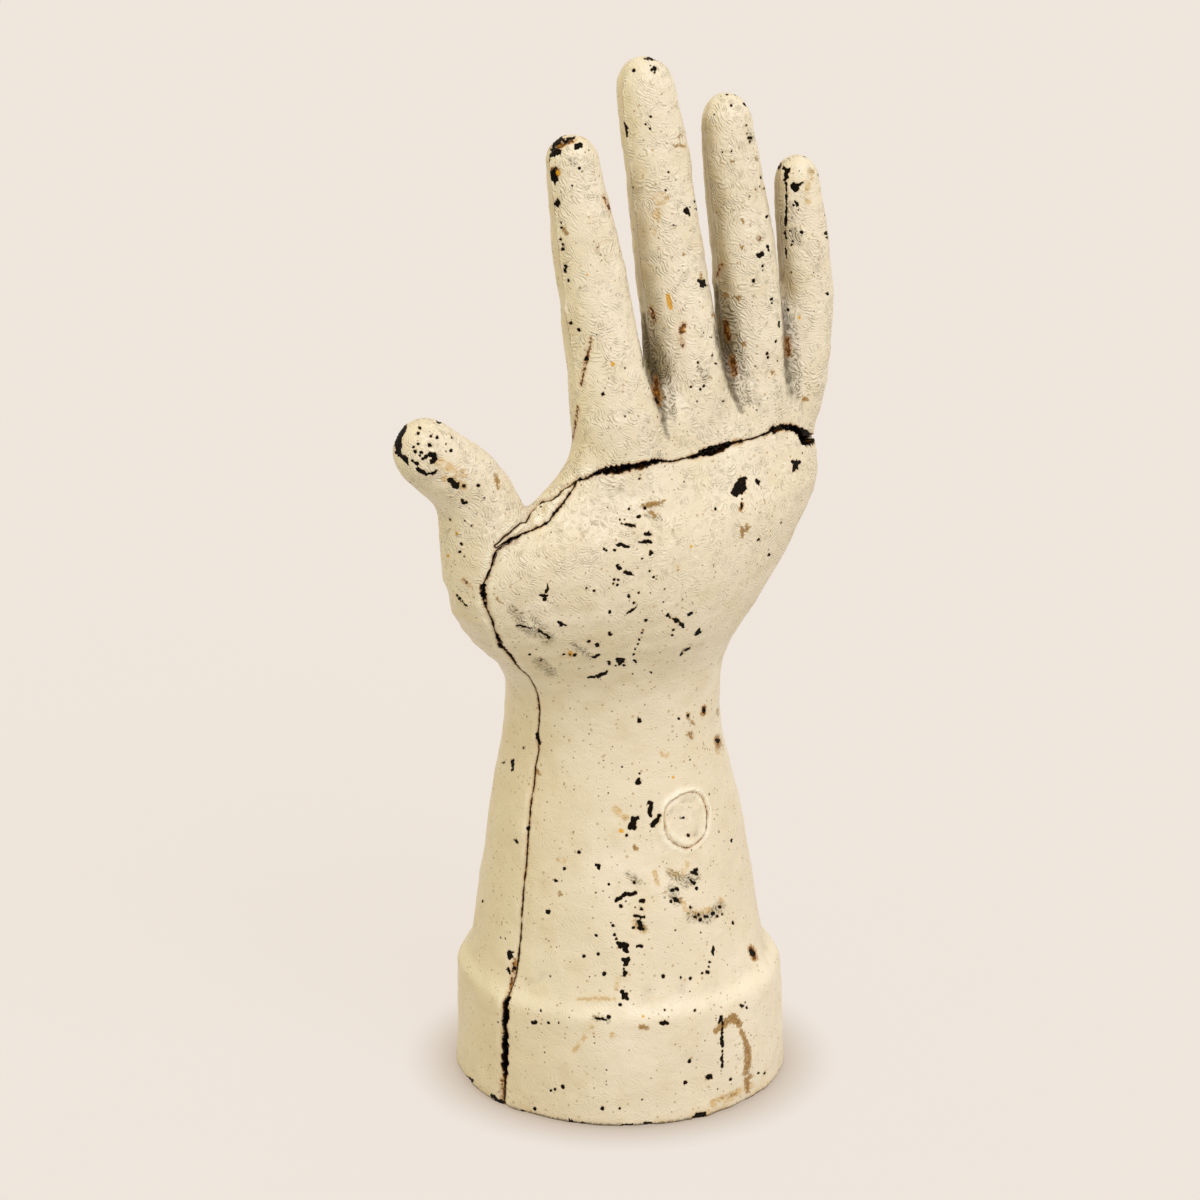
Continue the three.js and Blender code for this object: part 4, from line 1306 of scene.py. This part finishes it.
def crevice_dirt_and_shade(g):
    """Dirt and painted shade in the hollows, and painted shadow in the grooves between the fingers."""
    crevice_shade = g.times(g.step(g.hollow, 0.03, 0.6), g.step(g.small, 0.25, 0.65))
    # Painted shadow along the grooves between the fingers
    shaded_groove = g.scaled(g.minus(g.small, 0.5), 2.4, g.attribute("shaded_groove"))
    shaded_groove = g.times(g.step(shaded_groove, 1.0, -0.7), g.step(g.ridges, 0.8, 0.3, 0.75, 1))
    crevice_shade = g.most(g.times(crevice_shade, 0.6), shaded_groove)
    g.cover(g.times(crevice_shade, 0.9), GRIME_AND_SHADE)
    return crevice_shade, shaded_groove


def faint_specks(g):
    """Small specks all over, in loose patches."""
    patches = g.step(g.noise(14), 0.42, 0.7)
    rough_edge = g.minus(g.noise(0.4, detail=1), 0.5)
    for length, least, radius, shade, amount in FAINT_SPECKS:
        cells = g.add("ShaderNodeTexVoronoi", {"Vector": g.place, "Scale": 1 / length})
        chosen = g.add("ShaderNodeSeparateColor", {0: cells.outputs["Color"]})
        pick = g.step(g.scaled(patches, 0.13, chosen.outputs[0]), least, least + 0.02)
        size = g.scaled(chosen.outputs[1], radius / length, 0.3 * radius / length)
        near = g.scaled(rough_edge, 0.08, g.minus(cells.outputs["Distance"], size))
        dot = g.times(g.step(near, 0.05, 0.0), pick)
        g.cover(g.times(dot, amount), shade)


def stains(g):
    """Amber runs, sooty streaks that are partly painted shade along the finger valleys, spots of ochre
    and rust, and yellow drops.
    """
    field = g.attribute("amber")
    amber = g.times(g.step(g.ragged(field, 3.2), 0.9, -0.6), g.step(g.small, 0.3, 0.6))
    g.cover(g.times(amber, 0.6), AMBER)
    rim = g.step(g.math("ABSOLUTE", g.ragged(field, 1.2)), 0.28, 0.0)
    g.cover(g.times(g.times(rim, g.step(g.small, 0.4, 0.6)), 0.4), TAN)
    # Sooty streaks, partly painted shade along the valleys between the fingers
    streaks = g.step(g.scaled(g.edge, 1.4, g.ridges), 0.6, 0.28, 0.3, 1)
    soot_and_shade = g.times(g.step(g.ragged(g.attribute("soot_and_shade"), 3.6), 0.9, -0.7), streaks)
    g.cover(g.times(soot_and_shade, 0.7), SOOT_AND_SHADE)
    ochre = g.step(g.ragged(g.attribute("ochre"), 3.4), 0.3, -0.3)
    ochre_colour = g.mix(g.step(g.edge, -0.12, 0.08), TAN, OCHRE)
    g.cover(g.times(ochre, g.step(g.flecks, 0.25, 0.5, 0.6, 1)), ochre_colour)
    field = g.ragged(g.attribute("rust"), 2.6)
    g.cover(g.times(g.step(field, 0.9, 0.0), 0.4), ORANGE)
    rust = g.times(g.step(field, 0.12, -0.1), g.step(g.small, 0.36, 0.44))
    rust_colour = g.mix(g.step(g.flecks, 0.38, 0.6), RUST, BROWN)
    rust_colour = g.mix(g.step(g.small, 0.56, 0.66, 0, 0.85), rust_colour, ORANGE)
    g.cover(g.times(rust, 0.95), rust_colour)
    drop = g.step(g.ragged(g.attribute("yellow"), 0.5), 0.08, -0.08)
    g.cover(g.times(drop, 0.92), YELLOW)
    return soot_and_shade, ochre, rust


def parting_line(g, flash):
    """Parting line of the mould, rubbed and dirty."""
    parting = g.step(g.math("ABSOLUTE", g.ragged(flash, 1.0)), 0.45, 0.05)
    parting = g.times(parting, g.step(g.medium, 0.4, 0.6, 0.1, 0.6))
    g.cover(g.times(parting, g.fingers), TAN)


def ground_dirt(g):
    """Dirt drawn up from the ground round the rim of the foot."""
    rise = g.ragged(g.height, 2.2)
    g.cover(g.times(g.step(rise, 4.5, 0.5), g.step(g.medium, 0.4, 0.65, 0.1, 0.5)), AMBER)
    g.cover(g.times(g.step(rise, 1.7, 0.5), 0.85), BROWN)


def seam_dirt(g):
    """Dark line of the seam with dirt worked into its edges, and the iron of its walls."""
    edge = g.ragged(g.seam, 0.5)
    dirt = g.times(g.step(edge, 1.0, 0.0), g.step(g.small, 0.3, 0.65, 0.15, 0.75))
    g.cover(dirt, g.mix(g.step(g.medium, 0.45, 0.6), TAN, ORANGE))
    line = g.step(edge, 0.32, 0.06)
    g.cover(g.times(line, 0.92), BROWN)
    wall = g.step(g.seam, 0.03, -0.03)
    g.cover(wall, g.mix(g.step(g.small, 0.5, 0.7), IRON, RUST))
    return line, wall


def chips_to_iron(g):
    """Bare iron in a stained halo, and the distance in mm from its edge."""
    edge = g.scaled(g.minus(g.flecks, 0.5), 0.3, g.attribute("chip"))
    halo = g.times(g.step(edge, 0.5, 0.05), g.step(g.medium, 0.4, 0.65, 0.05, 0.4))
    g.cover(halo, g.mix(g.step(g.small, 0.5, 0.6), TAN, ORANGE))
    bare = g.step(edge, 0.09, 0.02)
    g.cover(bare, g.mix(g.step(g.edge, 0.06, 0.2), IRON, BROWN))
    return bare, edge


def painted(name, wrinkle_amount):
    """Thick brushed enamel, worn through to black iron at its chips and along the seam."""
    g = Enamel(name)
    flash = g.attribute("flash")
    # Band beside the flash line, darkened as painted shade and less brushed
    strip_shade = g.times(g.step(flash, -0.1, 0.4), g.step(flash, 4.5, 2.8))
    strip_shade = g.times(strip_shade, g.fingers)
    brushed = g.times(g.attribute("brushed"), g.step(strip_shade, 0, 1, 1, 0.25))
    paint_with_shade_and_highlights(g, strip_shade, brushed)
    crevice_shade, shaded_groove = crevice_dirt_and_shade(g)
    faint_specks(g)
    soot_and_shade, ochre, rust = stains(g)
    parting_line(g, flash)
    ground_dirt(g)
    line, wall = seam_dirt(g)
    bare, chip_edge = chips_to_iron(g)
    g.set("Base Color", g.colour)

    # Gloss, gone where the paint is worn or dirty
    worn = g.most(bare, wall, rust, line)
    gloss = g.scaled(crevice_shade, 0.3, g.scaled(g.medium, 0.2, 0.26))
    g.set("Roughness", g.scaled(worn, 0.4, gloss))
    dull = g.most(worn, shaded_groove, soot_and_shade, ochre)
    g.set("Specular Tint", g.mix(dull, WHITE, DULL_TINT))

    # Relief of the brush marks, and the broken edge of the paint
    wrinkles = g.times(g.ridges, g.times(brushed, wrinkle_amount))
    lumps = g.noise(3.2, stretch=(1, 1, 1.6))
    coat = g.scaled(lumps, 0.7, g.scaled(g.grain, 0.3, wrinkles))
    normal = g.bump(coat, BRUSH_RELIEF_MM * MM)
    flake = g.step(chip_edge, 0.02, 0.2)
    g.set("Normal", g.bump(flake, FLAKE_RELIEF_MM * MM, normal))
    return g.material


def steel(name):
    """Dull turned steel with spots of rust."""
    g = Surface(name)
    rings = g.noise(1.2, stretch=(1, 6, 1))
    spots = g.step(g.noise(2.4, detail=4, rough=0.6), 0.55, 0.7)
    colour = g.mix(rings, STEEL_DARK, STEEL_PALE)
    g.set("Base Color", g.mix(g.times(spots, 0.8), colour, RUST))
    g.set("Metallic", g.scaled(spots, -0.9, 1.0))
    g.set("Roughness", g.scaled(spots, 0.35, 0.42))
    g.set("Normal", g.bump(rings, STEEL_RELIEF_MM * MM))
    return g.material


def paper():
    """Pale floor that shows its own tone, with the object's contact shadow laid over it."""
    g = Surface("paper_floor")
    tone = g.step(g.noise(60), 0.3, 0.7, 0.99, 1.0)
    g.set("Base Color", g.mix(1.0, PAPER, tone, blend="MULTIPLY"))
    g.set("Roughness", 0.9)
    g.set("Specular IOR Level", 0.1)
    near = g.add("ShaderNodeAmbientOcclusion", {"Distance": CONTACT_REACH}).outputs["AO"]
    shade = g.mix(g.scaled(near, 2, -1, clamp=True), CONTACT_SHADE, WHITE)
    shown = g.mix(1.0, PAPER_SHOWN, shade, blend="MULTIPLY")
    glow = g.add("ShaderNodeEmission", {"Color": shown})
    g.show(g.times(g.looked_at(), PAPER_SHARE), g.shader, glow, "Material Output")
    return g.material


def add_floor():
    mesh = bpy.data.meshes.new("floor")
    corners = [(-1, -1), (1, -1), (1, 1), (-1, 1)]
    points = [(x * FLOOR_HALF, y * FLOOR_HALF, -FLOOR_DROP) for x, y in corners]
    mesh.from_pydata(points, [], [(0, 1, 2, 3)])
    mesh.materials.append(paper())
    linked("floor", mesh)


def add_world():
    """Even light from all round, and a plain backdrop behind the object."""
    world = bpy.data.worlds.new("studio")
    bpy.context.scene.world = world
    g = Graph(world)
    ambient = g.nodes["Background"]
    g.put(ambient.inputs["Color"], AMBIENT)
    g.put(ambient.inputs["Strength"], AMBIENT_STRENGTH)
    shown = g.add("ShaderNodeBackground", {"Color": BACKGROUND})
    g.show(g.looked_at(), ambient, shown, "World Output")


def add_key_light():
    """Soft distant light, from a direction given by the camera's right, the vertical and back."""
    data = bpy.data.lights.new("key", "SUN")
    data.angle = KEY_SPREAD
    data.energy = KEY_STRENGTH
    data.color = KEY_COLOUR
    lamp = linked("key", data)
    across, upward, towards = KEY_WAY
    way = (right * across + Vector((0, 0, 1)) * upward + back * towards).normalized()
    lamp.location = target + way * DISTANCE
    lamp.rotation_euler = way.to_track_quat("Z", "Y").to_euler()


add_camera()

# The master surface, finer where there are marks and seams
points, faces = fused_solids()
base = points - normals_of(points, faces) * SWELL
points = relaxed(base, faces)
base = np.column_stack([base, shelter_of(points, faces)])
solids = [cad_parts[name].data for name in SKIN_NODES]
trees = [tree_of(*arrays_of(mesh)) for mesh in solids]
fields, unseen = fields_of(points, base, faces, trees, None)
for reach in REFINE_REACH_MM:
    stains_too = reach == REFINE_REACH_MM[0]
    marked = marked_points(fields, *flash_of(points, faces), reach, stains_too)
    points, base, faces = refined(points, base, faces, marked)
    fields, _ = fields_of(points, base, faces, trees, unseen)

# Its relief
cut = fields["cut"]
line, on_fingers = flash_of(points, faces)
height = points[:, 2] / MM
seam = seam_distance(cut)
light = plug_light(points)
relief = casting_relief(points, height) + finger_relief(line, on_fingers)
relief += marks_relief(points, fields, seam) + plug_relief(points, cut[:, PLUG], light)
# The plug's dark line, painted fainter on its lit side as shade
seam = np.minimum(seam, plug_seam(points, cut[:, PLUG], light))
points = points + fields["normals"] * (relief * MM)[:, None]
points = np.clip(points, *np.array(cad_box))

# The fields that its materials read
normals = normals_of(points, faces)
flow = Averager(faces, len(points)).repeated(points, HOLLOW_STEPS)
shown = {name: fields[name] for name in ("chip", *STAINS, "shaded_groove")}
shown["seam"] = seam
# Hollows, darkened as dirt and painted shade, and ridges, lightened as painted highlight
shown["hollow"] = ((flow - points) * normals).sum(axis=1) / MM
# Share of rays that meet the hand again, which the paint shows as painted shade
shown["occlusion_shade"] = base[:, 3]
shown["brushed"] = 0.25 + 0.75 * smoothstep(*BRUSHED_HEIGHTS, height)
shown["flash"] = line
shown["fingers"] = on_fingers
shown["height"] = height
columns = np.column_stack([points, normals, *shown.values()])

enamel = painted("ivory_enamel", 1.0)
putty = painted("painted_filler", 0.9)
for name, index, depth, material, slot in (
    ("back_casting_skin", BACK, WALL_MM, enamel, "painted_iron"),
    ("palm_casting_skin", PALM_SIDE, WALL_MM, enamel, "painted_iron"),
    ("thumb_web_filler_skin", FILLER, FILLING_WALL_MM, putty, "filler"),
    ("screw_plug_skin", PLUG, FILLING_WALL_MM, putty, "filler"),
):
    piece = skin(name, cut[:, index], depth, faces, columns, list(shown))
    piece.data.materials.append(material)
    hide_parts(SKIN_NODES[index])

steel_material = steel("dull_steel")
for name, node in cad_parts.items():
    if name not in SKIN_NODES:
        for slot in node.material_slots:
            slot.material = steel_material

add_floor()
add_world()
add_key_light()
bpy.context.scene.view_settings.view_transform = "Standard"
